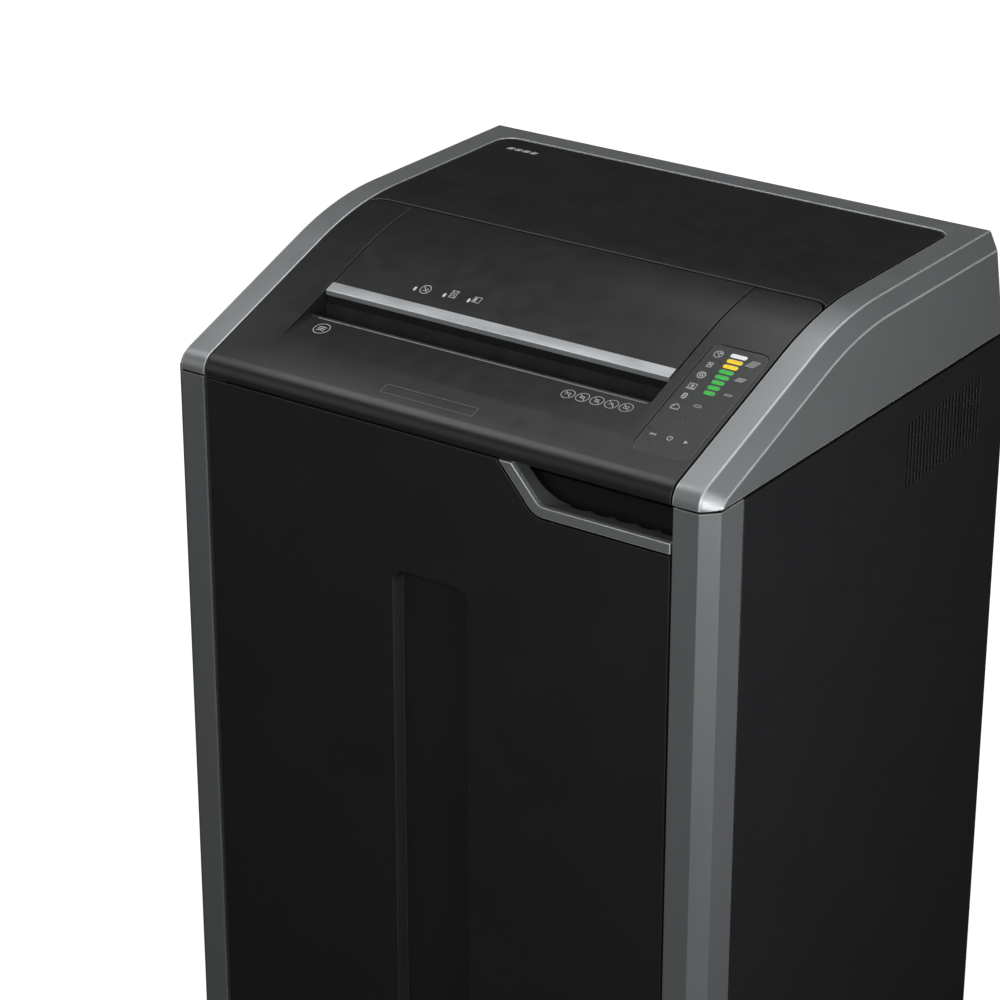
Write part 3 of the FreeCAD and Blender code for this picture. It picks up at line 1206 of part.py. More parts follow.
# ---------------------------------------------------------------- all sub-parts
SUBPARTS = {
    "hood_frame": hood_frame,
    "front_fascia": front_fascia,
    "entry_panel": entry_panel,
    "entry_strip": entry_strip,
    "control_glass": control_glass,
    "indicator_lights": indicator_lights,
    "service_lid": service_lid,
    "lid_hinges": lid_hinges,
    "service_tray": service_tray,
    "oil_tank": oil_tank,
    "left_corner_post": lambda: corner_post(-1),
    "right_corner_post": lambda: corner_post(1),
    "left_side_panel": lambda: side_panel(-1),
    "right_side_panel": lambda: side_panel(1),
    "rear_panel": rear_panel,
    "panel_screws": panel_screws,
    "base_pan": base_pan,
    "plinth_bar": plinth_bar,
    "top_frame": top_frame,
    "mechanism_shelf": mechanism_shelf,
    "inner_front_panel": inner_front_panel,
    "shred_chute": shred_chute,
    "bin_runners": bin_runners,
    "door_skin": door_skin,
    "door_liner": door_liner,
    "door_trim": door_trim,
    "door_grip": door_grip,
    "door_bushes": door_bushes,
    "door_hinge_pins": door_hinge_pins,
    "door_catch": door_catch,
    "door_switch": door_switch,
    "waste_bin": waste_bin,
    "bin_handle": bin_handle,
    "chassis_plates": chassis_plates,
    "cutter_bearings": cutter_bearings,
    "front_cutter": front_cutter,
    "rear_cutter": rear_cutter,
    "front_sync_gear": front_sync_gear,
    "rear_sync_gear": rear_sync_gear,
    "drive_gear": drive_gear,
    "reduction_gear": reduction_gear,
    "motor_body": motor_body,
    "motor_rotor": motor_rotor,
    "cooling_fan": cooling_fan,
    "stripper_combs": stripper_combs,
    "throat_guides": throat_guides,
    "chassis_pins": chassis_pins,
    "control_board": control_board,
    "power_inlet": power_inlet,
    "switch_housing": switch_housing,
    "power_rocker": power_rocker,
    "castor_mounts": castor_mounts,
}


def main():
    os.makedirs("parts", exist_ok=True)
    makers = dict(SUBPARTS)
    for corner in CORNERS:
        makers["castor_fork_" + corner] = lambda corner=corner: castor_fork(corner)
        makers["castor_wheel_" + corner] = lambda corner=corner: castor_wheel(corner)
    for name, make in makers.items():
        shape = make()
        shape.exportStep("parts/" + name + ".step")
        print(name, "solids", len(shape.Solids), "valid", shape.isValid(), "volume", round(shape.Volume))


main()
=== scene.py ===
import json
import math

import bmesh
import bpy
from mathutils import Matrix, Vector
from mathutils.bvhtree import BVHTree

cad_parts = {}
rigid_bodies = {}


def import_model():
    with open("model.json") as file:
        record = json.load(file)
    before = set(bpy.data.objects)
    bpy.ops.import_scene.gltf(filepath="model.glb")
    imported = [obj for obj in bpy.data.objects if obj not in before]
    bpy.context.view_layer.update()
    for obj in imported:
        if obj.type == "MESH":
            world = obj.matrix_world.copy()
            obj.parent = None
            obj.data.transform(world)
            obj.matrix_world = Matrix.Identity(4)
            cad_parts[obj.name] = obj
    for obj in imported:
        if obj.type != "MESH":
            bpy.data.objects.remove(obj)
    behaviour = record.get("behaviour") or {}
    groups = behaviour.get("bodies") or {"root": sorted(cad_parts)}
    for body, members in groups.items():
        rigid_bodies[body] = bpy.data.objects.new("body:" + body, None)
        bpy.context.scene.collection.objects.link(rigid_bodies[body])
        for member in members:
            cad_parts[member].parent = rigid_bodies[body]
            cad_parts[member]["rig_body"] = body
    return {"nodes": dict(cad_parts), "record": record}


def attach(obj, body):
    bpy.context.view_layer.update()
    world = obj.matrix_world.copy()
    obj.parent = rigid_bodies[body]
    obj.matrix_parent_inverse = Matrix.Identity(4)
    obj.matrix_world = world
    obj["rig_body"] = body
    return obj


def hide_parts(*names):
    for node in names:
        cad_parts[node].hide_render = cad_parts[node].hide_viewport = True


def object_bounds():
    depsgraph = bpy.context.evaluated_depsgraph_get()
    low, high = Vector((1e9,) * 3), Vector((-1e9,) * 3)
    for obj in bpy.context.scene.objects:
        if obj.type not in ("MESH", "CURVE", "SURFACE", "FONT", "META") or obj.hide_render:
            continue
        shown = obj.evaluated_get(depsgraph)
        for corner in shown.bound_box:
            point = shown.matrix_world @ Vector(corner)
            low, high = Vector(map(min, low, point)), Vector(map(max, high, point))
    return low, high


# Looks of a floor-standing paper shredder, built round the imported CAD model. Metres, +Z up,
# the front faces -Y. Lengths written in millimetres are turned into metres by MM.

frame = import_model()
CAD_LOW, CAD_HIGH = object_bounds()

MM = 0.001
SMOOTH_LIMIT = math.radians(32)      # edges sharper than this are rounded
BEND_LIMIT = math.radians(60)        # folds in sheet turn by less than this
BEND_LENGTH = 0.1                    # and are longer than this
FLAT_LIMIT = math.radians(0.4)       # faces that turn by less than this count as one
MERGE_DISTANCE = 2e-6                # seam vertices closer than this are joined
GROWTH_NOTED = 0.05 * MM             # rounding that stands out by more than this is printed
NODES = frame["nodes"]
NODE_SLOT = {part["node"]: part["material_slot"] for part in frame["record"]["subparts"]}


# ---------------------------------------------------------------- material workshop
class Finish:
    """A principled material whose patterns are read in the piece's own frame, in metres."""

    def __init__(self, name, colour, roughness, metallic=0.0, specular=0.5, coat=0.0):
        self.material = bpy.data.materials.new(name)
        self.material.use_nodes = True
        self.nodes = self.material.node_tree.nodes
        self.links = self.material.node_tree.links
        self.shader = self.nodes["Principled BSDF"]
        self.place = self.nodes.new("ShaderNodeTexCoord").outputs["Object"]
        self.colour = colour
        self.roughness = roughness
        self.height = None
        sockets = self.shader.inputs
        sockets["Base Color"].default_value = (*colour, 1.0)
        sockets["Roughness"].default_value = roughness
        sockets["Metallic"].default_value = metallic
        sockets["Specular IOR Level"].default_value = specular
        sockets["Coat Weight"].default_value = coat
        self.material.diffuse_color = (*colour, 1.0)

    def noise(self, size, detail=3.0, stretch=(1, 1, 1)):
        """Soft random pattern; size is the width of its blotches, in metres."""
        mapping = self.nodes.new("ShaderNodeMapping")
        mapping.inputs["Scale"].default_value = [s / size for s in stretch]
        self.links.new(self.place, mapping.inputs["Vector"])
        noise = self.nodes.new("ShaderNodeTexNoise")
        noise.inputs["Scale"].default_value = 1.0
        noise.inputs["Detail"].default_value = detail
        self.links.new(mapping.outputs["Vector"], noise.inputs["Vector"])
        return noise.outputs["Fac"]

    def cells(self, size):
        """Rounded pebbles, as in a grained moulding."""
        cells = self.nodes.new("ShaderNodeTexVoronoi")
        cells.feature = "SMOOTH_F1"
        cells.inputs["Scale"].default_value = 1.0 / size
        self.links.new(self.place, cells.inputs["Vector"])
        return cells.outputs["Distance"]

    def span(self, value, low, high, start=0.3, end=0.7):
        """The pattern's middle range, stretched to run from low to high."""
        limits = self.nodes.new("ShaderNodeMapRange")
        limits.inputs["From Min"].default_value = start
        limits.inputs["From Max"].default_value = end
        limits.inputs["To Min"].default_value = low
        limits.inputs["To Max"].default_value = high
        self.links.new(value, limits.inputs["Value"])
        return limits.outputs["Result"]

    def tint(self, pattern, other):
        """Base colour that drifts between this finish's colour and another one."""
        mix = self.nodes.new("ShaderNodeMix")
        mix.data_type = "RGBA"
        mix.inputs["A"].default_value = (*self.colour, 1.0)
        mix.inputs["B"].default_value = (*other, 1.0)
        self.links.new(pattern, mix.inputs["Factor"])
        self.links.new(mix.outputs["Result"], self.shader.inputs["Base Color"])
        return self

    def uneven(self, pattern, change):
        """Roughness that drifts by plus or minus change."""
        result = self.span(pattern, self.roughness - change, self.roughness + change)
        self.links.new(result, self.shader.inputs["Roughness"])
        return self

    def grain(self, pattern, depth, strength=1.0):
        """Relief of that depth, in metres, on top of any relief so far."""
        bump = self.nodes.new("ShaderNodeBump")
        bump.inputs["Distance"].default_value = depth
        bump.inputs["Strength"].default_value = strength
        self.links.new(pattern, bump.inputs["Height"])
        if self.height is not None:
            self.links.new(self.height, bump.inputs["Normal"])
        self.height = bump.outputs["Normal"]
        self.links.new(self.height, self.shader.inputs["Normal"])
        return self


def scaled(colour, factor):
    """The colour made lighter or darker, with no channel over 1."""
    return tuple(min(1.0, c * factor) for c in colour)


def grey_moulding():
    """Satin charcoal paint with a fine metallic flake over moulded plastic."""
    colour = (0.250, 0.260, 0.266)
    f = Finish("grey_moulding", colour, 0.36, metallic=0.55, specular=0.5)
    f.tint(f.span(f.noise(0.0007, 2.0), 0.0, 1.0), scaled(colour, 1.22))
    f.uneven(f.noise(0.030, 3.0), 0.035)
    return f.grain(f.noise(0.0009, 2.0), 0.00004, 0.5).material


def grey_steel():
    """The same charcoal colour, stoved on sheet steel, with faint orange peel."""
    colour = (0.200, 0.208, 0.214)
    f = Finish("grey_steel", colour, 0.38, metallic=0.50)
    f.tint(f.span(f.noise(0.0008, 2.0), 0.0, 1.0), scaled(colour, 1.2))
    f.uneven(f.noise(0.045, 3.0, (1, 1, 0.3)), 0.04)
    return f.grain(f.noise(0.0012, 2.0), 0.00005, 0.5).material


def black_moulding():
    """Matt black plastic with a fine spark-eroded grain."""
    colour = (0.0116, 0.0122, 0.0132)
    f = Finish("black_moulding", colour, 0.31, specular=0.48)
    f.tint(f.span(f.noise(0.060, 2.0), 0.0, 1.0), scaled(colour, 1.3))
    f.uneven(f.noise(0.020, 3.0), 0.03)
    return f.grain(f.noise(0.0008, 3.0), 0.00009, 0.55).material


def black_steel():
    """Textured black powder coat on sheet steel."""
    colour = (0.0104, 0.0110, 0.0119)
    f = Finish("black_steel", colour, 0.50, specular=0.34)
    f.tint(f.span(f.noise(0.0011, 2.0), 0.0, 1.0), scaled(colour, 1.6))
    f.uneven(f.noise(0.080, 3.0), 0.05)
    f.grain(f.noise(0.0014, 3.0), 0.00016, 0.6)
    return f.grain(f.cells(0.0018), 0.00008, 0.35).material


def silver_trim():
    """Brushed silver foil on plastic, brushed along the slot."""
    colour = (0.52, 0.54, 0.55)
    f = Finish("silver_trim", colour, 0.34, metallic=0.80)
    brushed = f.noise(0.0006, 3.0, (0.02, 1, 1))
    f.tint(f.span(brushed, 0.0, 1.0), scaled(colour, 1.18))
    f.uneven(f.noise(0.012, 3.0, (0.2, 1, 1)), 0.06)
    return f.grain(brushed, 0.00003, 0.4).material


def smoked_panel():
    """Dark satin acrylic over the control panel, with a barely visible screen pattern."""
    colour = (0.024, 0.025, 0.026)
    f = Finish("smoked_panel", colour, 0.30, specular=0.5)
    f.tint(f.span(f.noise(0.025, 2.0), 0.0, 1.0), scaled(colour, 1.25))
    f.uneven(f.noise(0.010, 3.0), 0.03)
    return f.grain(f.noise(0.0010, 1.0), 0.00002, 0.3).material


def print_and_painted_light_ink(name, colour):
    """Flat ink with slightly uneven cover, for printed marks and for lines of painted shade and
    painted highlight.
    """
    f = Finish(name, colour, 0.48, specular=0.4)
    f.tint(f.span(f.noise(0.0016, 3.0), 0.0, 1.0), scaled(colour, 0.88))
    return f.grain(f.noise(0.0005, 2.0), 0.00002, 0.4).material


def light_guide(name, colour, glow):
    """Coloured light guide, lit from below, with a colour that drifts at random."""
    f = Finish(name, colour, 0.25, specular=0.5)
    f.tint(f.span(f.noise(0.004, 2.0), 0.0, 1.0), scaled(colour, 0.8))
    f.grain(f.noise(0.0012, 2.0), 0.00003, 0.3)
    f.shader.inputs["Emission Color"].default_value = (*colour, 1.0)
    f.shader.inputs["Emission Strength"].default_value = glow
    return f.material


def zinc_steel():
    """Bright zinc plate with the cloudy spangle of a pressed bracket."""
    colour = (0.46, 0.48, 0.50)
    f = Finish("zinc_steel", colour, 0.38, metallic=1.0)
    f.tint(f.span(f.noise(0.009, 4.0), 0.0, 1.0), scaled(colour, 0.72))
    f.uneven(f.noise(0.006, 3.0), 0.10)
    return f.grain(f.noise(0.0015, 3.0), 0.00003, 0.4).material


def ledge_moulding():
    """Satin dark grey ledge, painted lighter than the black moulding round it to stand in for light
    that its recess does not get; its roughness drifts at random.
    """
    colour = (0.052, 0.054, 0.056)
    f = Finish("ledge_moulding", colour, 0.42, specular=0.45)
    f.tint(f.span(f.noise(0.030, 2.0), 0.0, 1.0), scaled(colour, 1.25))
    f.uneven(f.noise(0.015, 3.0), 0.04)
    return f.grain(f.noise(0.0009, 3.0), 0.00008, 0.5).material


def guide_steel():
    """Blackened guide plate, polished faintly along the paper's path."""
    colour = (0.020, 0.020, 0.021)
    f = Finish("guide_steel", colour, 0.42, specular=0.4)
    f.tint(f.span(f.noise(0.020, 3.0, (1, 1, 0.2)), 0.0, 1.0), scaled(colour, 1.5))
    f.uneven(f.noise(0.010, 3.0), 0.05)
    return f.grain(f.noise(0.0010, 2.0), 0.00003, 0.4).material


def machined_steel():
    """Turned steel with fine tool marks across the X axis."""
    colour = (0.52, 0.52, 0.53)
    f = Finish("machined_steel", colour, 0.30, metallic=1.0)
    marks = f.noise(0.0005, 2.0, (1, 0.05, 0.05))
    f.tint(f.span(f.noise(0.012, 3.0), 0.0, 1.0), scaled(colour, 0.8))
    f.uneven(f.noise(0.004, 3.0), 0.07)
    return f.grain(marks, 0.00004, 0.5).material


def cutter_steel():
    """Hardened cutter steel, oil-darkened, with ground disc faces."""
    colour = (0.30, 0.30, 0.31)
    f = Finish("cutter_steel", colour, 0.33, metallic=1.0)
    f.tint(f.span(f.noise(0.007, 4.0), 0.0, 1.0), (0.16, 0.145, 0.13))
    f.uneven(f.noise(0.003, 3.0), 0.10)
    return f.grain(f.noise(0.0006, 2.0, (0.1, 1, 1)), 0.00005, 0.5).material


def motor_paint():
    """Hammered grey-blue motor enamel."""
    colour = (0.060, 0.078, 0.095)
    f = Finish("motor_paint", colour, 0.34, coat=0.3)
    f.tint(f.span(f.noise(0.015, 3.0), 0.0, 1.0), scaled(colour, 1.4))
    f.uneven(f.noise(0.008, 2.0), 0.05)
    return f.grain(f.cells(0.0035), 0.0003, 0.5).material


def black_nylon():
    """Glass-filled nylon, dull and slightly streaky."""
    colour = (0.016, 0.016, 0.017)
    f = Finish("black_nylon", colour, 0.50, specular=0.4)
    f.tint(f.span(f.noise(0.010, 3.0, (1, 1, 0.2)), 0.0, 1.0), scaled(colour, 1.9))
    f.uneven(f.noise(0.005, 3.0), 0.07)
    return f.grain(f.noise(0.0007, 3.0), 0.00007, 0.5).material


def bin_plastic():
    """Dark grey polypropylene with flow lines and scuffs from use."""
    colour = (0.045, 0.047, 0.050)
    f = Finish("bin_plastic", colour, 0.44)
    f.tint(f.span(f.noise(0.050, 4.0, (1, 1, 0.15)), 0.0, 1.0), scaled(colour, 1.45))
    f.uneven(f.noise(0.015, 4.0, (1, 1, 0.1)), 0.08)
    return f.grain(f.noise(0.0010, 3.0), 0.00008, 0.5).material


def oil_plastic():
    """Milky white polyethylene bottle."""
    colour = (0.62, 0.61, 0.56)
    f = Finish("oil_plastic", colour, 0.38)
    f.shader.inputs["Subsurface Weight"].default_value = 0.15
    f.tint(f.span(f.noise(0.030, 3.0), 0.0, 1.0), scaled(colour, 0.86))
    return f.grain(f.noise(0.0030, 3.0), 0.00012, 0.5).material


def board_green():
    """Circuit board: solder mask over a grid of copper tracks."""
    colour = (0.010, 0.070, 0.030)
    f = Finish("board_green", colour, 0.30, specular=0.55)
    tracks = f.nodes.new("ShaderNodeTexBrick")
    tracks.inputs["Scale"].default_value = 90.0
    tracks.inputs["Mortar Size"].default_value = 0.06
    f.links.new(f.place, tracks.inputs["Vector"])
    f.tint(f.span(tracks.outputs["Fac"], 0.0, 1.0, 0.0, 1.0), (0.030, 0.150, 0.050))
    f.uneven(f.noise(0.004, 2.0), 0.05)
    return f.grain(tracks.outputs["Fac"], 0.00004, 0.5).material


def tread():
    """Dark castor rubber with rolling scuffs and picked-up dust."""
    colour = (0.020, 0.020, 0.021)
    f = Finish("tread", colour, 0.68, specular=0.3)
    f.tint(f.span(f.noise(0.006, 4.0, (0.3, 1, 1)), 0.0, 1.0, 0.45, 0.8), (0.085, 0.080, 0.074))
    f.uneven(f.noise(0.004, 3.0), 0.08)
    return f.grain(f.noise(0.0009, 4.0), 0.00014, 0.6).material


def bearing_brass():
    """Sintered bronze, warm and slightly porous."""
    colour = (0.42, 0.27, 0.11)
    f = Finish("bearing_brass", colour, 0.36, metallic=1.0)
    f.tint(f.span(f.noise(0.005, 4.0), 0.0, 1.0), scaled(colour, 0.7))
    f.uneven(f.noise(0.002, 3.0), 0.08)
    return f.grain(f.noise(0.0005, 4.0), 0.00006, 0.5).material


SLOT_FINISH = {
    "grey_moulding": grey_moulding(),
    "black_moulding": black_moulding(),
    "silver_trim": silver_trim(),
    "smoked_panel": smoked_panel(),
    "light_guide": light_guide("light_guide", (0.80, 0.82, 0.80), 0.25),
    "grey_steel": grey_steel(),
    "black_steel": black_steel(),
    "zinc_steel": zinc_steel(),
    "machined_steel": machined_steel(),
    "cutter_steel": cutter_steel(),
    "motor_paint": motor_paint(),
    "black_nylon": black_nylon(),
    "bin_plastic": bin_plastic(),
    "oil_plastic": oil_plastic(),
    "board_green": board_green(),
    "tread": tread(),
    "bearing_brass": bearing_brass(),
}


def painted_edge_highlight(name, colour, roughness, metallic=0.0):
    """Painted highlight: a lighter colour on the faces of a rounded edge, standing in for the light
    it catches.
    """
    f = Finish(name, colour, roughness, metallic=metallic)
    f.tint(f.span(f.noise(0.012, 3.0), 0.0, 1.0), scaled(colour, 0.85))
    return f.grain(f.noise(0.0009, 2.0), 0.00003, 0.4).material


# Painted highlights: each edge colour is far lighter than its slot's own colour, so rounded edges
# show bright lines whatever the lamps do.
PAINTED_EDGE_HIGHLIGHT = {
    "grey_moulding": painted_edge_highlight("grey_edge", (0.62, 0.64, 0.65), 0.34, 0.4),
    "grey_steel": painted_edge_highlight("steel_edge", (0.56, 0.58, 0.59), 0.36, 0.4),
    "silver_trim": painted_edge_highlight("silver_edge", (0.78, 0.80, 0.81), 0.30, 0.5),
    "black_moulding": painted_edge_highlight("black_edge", (0.030, 0.031, 0.033), 0.34),
    "black_steel": painted_edge_highlight("black_steel_edge", (0.034, 0.035, 0.037), 0.45),
    "smoked_panel": painted_edge_highlight("glass_edge", (0.16, 0.165, 0.17), 0.30),
}

# Nodes whose finish differs from their slot's.
NODE_FINISH = {"throat_guides": guide_steel(), "door_grip": ledge_moulding()}


def finish_of(node):
    """The node's own finish if it has one, or else its slot's."""
    return NODE_FINISH.get(node, SLOT_FINISH[NODE_SLOT[node]])


# ---------------------------------------------------------------- piece workshop
def add_piece(name, mesh, body, material):
    """Links a mesh that is already in the row frame, and lets it ride on its CAD body."""
    piece = bpy.data.objects.new(name, mesh)
    bpy.context.scene.collection.objects.link(piece)
    mesh.materials.append(material)
    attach(piece, body)
    return piece


def smooth_shading(piece, limit=SMOOTH_LIMIT):
    """Smooth faces with flat areas kept flat, so that only rounded edges catch the light."""
    mesh = piece.data
    mesh.polygons.foreach_set("use_smooth", [True] * len(mesh.polygons))
    mesh.set_sharp_from_angle(angle=limit)
    weighted = piece.modifiers.new("even_normals", "WEIGHTED_NORMAL")
    weighted.keep_sharp = True
    weighted.weight = 80


def extent(bm):
    """Lowest and highest corner of a bmesh."""
    places = [v.co for v in bm.verts]
    low = Vector([min(p[i] for p in places) for i in range(3)])
    high = Vector([max(p[i] for p in places) for i in range(3)])
    return low, high


def clean_bmesh(node):
    """The CAD node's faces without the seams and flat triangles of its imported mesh."""
    bm = bmesh.new()
    bm.from_mesh(NODES[node].data)
    bmesh.ops.remove_doubles(bm, verts=bm.verts, dist=MERGE_DISTANCE)
    bmesh.ops.dissolve_degenerate(bm, edges=bm.edges, dist=1e-6)
    bmesh.ops.dissolve_limit(
        bm, angle_limit=FLAT_LIMIT, use_dissolve_boundaries=False, verts=bm.verts, edges=bm.edges)
    return bm


def bevel(bm, edges, radius, segments):
    """Rounds the edges to a radius in millimetres; the new faces take material 1, the painted edge
    highlight where the piece has one.
    """
    bmesh.ops.bevel(
        bm, geom=edges, offset=radius * MM, offset_type="OFFSET", segments=segments,
        profile=0.5, affect="EDGES", clamp_overlap=False, loop_slide=True, material=1)


def sharp_edges(bm, limit=math.pi, shortest=0.0):
    """Edges that turn by more than the smoothing limit but less than another, if long enough."""
    return [e for e in bm.edges if e.is_manifold and e.calc_length() > shortest
            and SMOOTH_LIMIT < e.calc_face_angle(0.0) < limit]


def round_edges(bm, radius, segments, bend=0.0):
    """Rounds every sharp edge; long shallow bends get their own radius if bend is over 0."""
    if bend:
        bevel(bm, sharp_edges(bm, BEND_LIMIT, BEND_LENGTH), bend, segments)
    bevel(bm, sharp_edges(bm), radius, segments)


def rounded_copy(node, radius, bend=0.0, segments=2):
    """Stands in for a CAD node: the same shape with its sharp edges rounded, and a painted highlight
    colour on the rounded faces where the slot has one.
    """
    bm = clean_bmesh(node)
    low, high = extent(bm)
    round_edges(bm, radius, segments, bend)
    new_low, new_high = extent(bm)
    grown = max(max(low - new_low), max(new_high - high))
    if grown > GROWTH_NOTED:
        print("NOTE rounded edges of", node, "stand out by mm", round(grown / MM, 2))
    mesh = bpy.data.meshes.new(node + "_rounded")
    bm.to_mesh(mesh)
    bm.free()
    slot = NODE_SLOT[node]
    piece = add_piece(node + "_rounded", mesh, NODES[node]["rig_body"], finish_of(node))
    # Second material: the painted edge highlight, a lighter colour that stands in for light along
    # the rounded edges.
    mesh.materials.append(PAINTED_EDGE_HIGHLIGHT.get(slot, finish_of(node)))
    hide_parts(node)
    smooth_shading(piece)
    return piece


# Radii in millimetres.
BEND_RADIUS = {"left_corner_post": 1.3, "right_corner_post": 1.3}

EDGE_RADIUS = {
    "hood_frame": 1.2, "front_fascia": 0.8, "entry_panel": 0.5, "entry_strip": 0.3,
    "control_glass": 0.5, "service_lid": 0.9, "door_skin": 0.4, "door_trim": 0.9,
    "door_grip": 0.6, "door_liner": 0.3, "left_corner_post": 0.3, "right_corner_post": 0.3,
    "left_side_panel": 0.25, "right_side_panel": 0.25, "rear_panel": 0.3,
    "waste_bin": 0.8, "bin_handle": 0.8, "service_tray": 0.5, "oil_tank": 0.4,
    "power_rocker": 0.4, "power_inlet": 0.4, "switch_housing": 0.4, "plinth_bar": 0.4,
    "castor_mounts": 0.5,
}


def dress_nodes():
    """Rounded stand-ins for the nodes whose edges show; the others keep their CAD mesh."""
    for node, part in NODES.items():
        if node in EDGE_RADIUS:
            rounded_copy(node, EDGE_RADIUS[node], BEND_RADIUS.get(node, 0.0))
        else:
            for holder in part.material_slots:
                holder.link = "OBJECT"
                holder.material = finish_of(node)


dress_nodes()


# ---------------------------------------------------------------- printed marks
def upper_surface(node):
    """Ray-cast tree of a CAD node, for placing prints on its upper side."""
    bm = bmesh.new()
    bm.from_mesh(NODES[node].data)
    tree = BVHTree.FromBMesh(bm)
    bm.free()
    return tree


def circle(radius, start=0.0, end=360.0, steps=24, centre=(0.0, 0.0)):
    """Points on an arc; a full circle leaves out its last point."""
    count = steps if end - start >= 360.0 else steps + 1
    angles = [math.radians(start + (end - start) * i / steps) for i in range(count)]
    return [(centre[0] + radius * math.cos(a), centre[1] + radius * math.sin(a)) for a in angles]


def rectangle(width, height, corner=0.0, centre=(0.0, 0.0)):
    """Closed outline of a rectangle, with rounded corners if corner is over 0."""
    u, v = width / 2 - corner, height / 2 - corner
    points = []
    for su, sv, start in ((1, 1, 0), (-1, 1, 90), (-1, -1, 180), (1, -1, 270)):
        middle = (centre[0] + su * u, centre[1] + sv * v)
        if corner > 0:
            points += circle(corner, start, start + 90, 4, middle)
        else:
            points.append(middle)
    return points


class Print:
    """Thin closed solids on a node's upper surface, drawn in millimetres round a centre."""

    SINK = 0.12 * MM         # depth of each solid below the surface
    CLEAR = 0.1              # height over the machine that the rays start from

    def __init__(self, node, lift=0.10):
        self.node = node
        self.tree = upper_surface(node)
        self.lift = lift * MM
        self.bm = bmesh.new()
        self.centre = (0.0, 0.0)

    def at(self, x, y):
        """Moves the centre that the next outlines are drawn round."""
        self.centre = (x, y)
        return self

    def spot(self, u, v, depth):
        """Place on the node's upper side below (u, v), moved out along its normal by depth."""
        above = CAD_HIGH.z + self.CLEAR
        start = Vector(((self.centre[0] + u) * MM, (self.centre[1] + v) * MM, above))
        place, normal, _, _ = self.tree.ray_cast(start, Vector((0, 0, -1)))
        return place + normal * depth

    def row(self, points):
        """Raised and sunk vertices for each point."""
        top = [self.bm.verts.new(self.spot(u, v, self.lift)) for u, v in points]
        low = [self.bm.verts.new(self.spot(u, v, -self.SINK)) for u, v in points]
        return top, low

    def fill(self, points):
        """Solid patch inside a closed outline that runs anticlockwise."""
        top, low = self.row(points)
        self.bm.faces.new(top)
        self.bm.faces.new(low[::-1])
        for i in range(len(points)):
            k = (i + 1) % len(points)
            self.bm.faces.new((top[k], top[i], low[i], low[k]))
        return self

    def stroke(self, points, width=0.7, closed=False):
        """Line of even width through the points, with mitred corners."""
        count = len(points)
        sides = []
        for i, point in enumerate(points):
            before = Vector(points[i - 1 if closed or i > 0 else 0])
            after = Vector(points[(i + 1) % count if closed or i < count - 1 else count - 1])
            here = Vector(point)
            legs = [leg.normalized() for leg in (here - before, after - here) if leg.length > 1e-6]
            along = sum(legs, Vector((0, 0))).normalized()
            across = Vector((-along.y, along.x))
            reach = width / 2 / max(0.5, along.dot(legs[0]))
            sides.append((here + across * reach, here - across * reach))
        left = self.row([a for a, b in sides])
        right = self.row([b for a, b in sides])
        spans = range(count if closed else count - 1)
        for i in spans:
            k = (i + 1) % count
            self.bm.faces.new((left[0][i], right[0][i], right[0][k], left[0][k]))
            self.bm.faces.new((left[1][i], left[1][k], right[1][k], right[1][i]))
            self.bm.faces.new((left[0][k], left[1][k], left[1][i], left[0][i]))
            self.bm.faces.new((right[0][i], right[1][i], right[1][k], right[0][k]))
        if not closed:
            for i in (0, count - 1):
                self.bm.faces.new((left[0][i], left[1][i], right[1][i], right[0][i]))
        return self

    def done(self, name, material):
        """Turns the drawn solids into one piece."""
        bmesh.ops.recalc_face_normals(self.bm, faces=self.bm.faces)
        mesh = bpy.data.meshes.new(name)
        self.bm.to_mesh(mesh)
        self.bm.free()
        return add_piece(name, mesh, NODES[self.node]["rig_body"], material)


WHITE_INK = print_and_painted_light_ink("white_ink", (0.50, 0.51, 0.52))
GREY_INK = print_and_painted_light_ink("grey_ink", (0.12, 0.125, 0.13))
# Painted shade: a near-black line that stands in for the shade inside the fine groove under the
# status marks.
GROOVE_PAINTED_SHADE = print_and_painted_light_ink("groove_painted_shade", (0.004, 0.004, 0.005))


def slashed_ring(mark, radius, width=0.8):
    """Ring with a bar across it."""
    mark.stroke(circle(radius), width, closed=True)
    reach = radius * 0.70
    mark.stroke([(-reach, reach), (reach, -reach)], width)


def sheet_stack(mark, width, height, lines):
    """Slanted sheet outline crossed by lines: the more lines, the more sheets."""
    lean = height * 0.25
    corners = [(-width / 2 - lean, -height / 2), (width / 2 - lean, -height / 2),
               (width / 2 + lean, height / 2), (-width / 2 + lean, height / 2)]
    mark.stroke(corners, 0.6, closed=True)
    for i in range(lines):
        v = -height / 2 + height * (i + 1) / (lines + 1)
        shift = lean * 2 * v / height
        mark.stroke([(-width / 2 + shift + 0.8, v), (width / 2 + shift - 0.8, v)], 0.5)


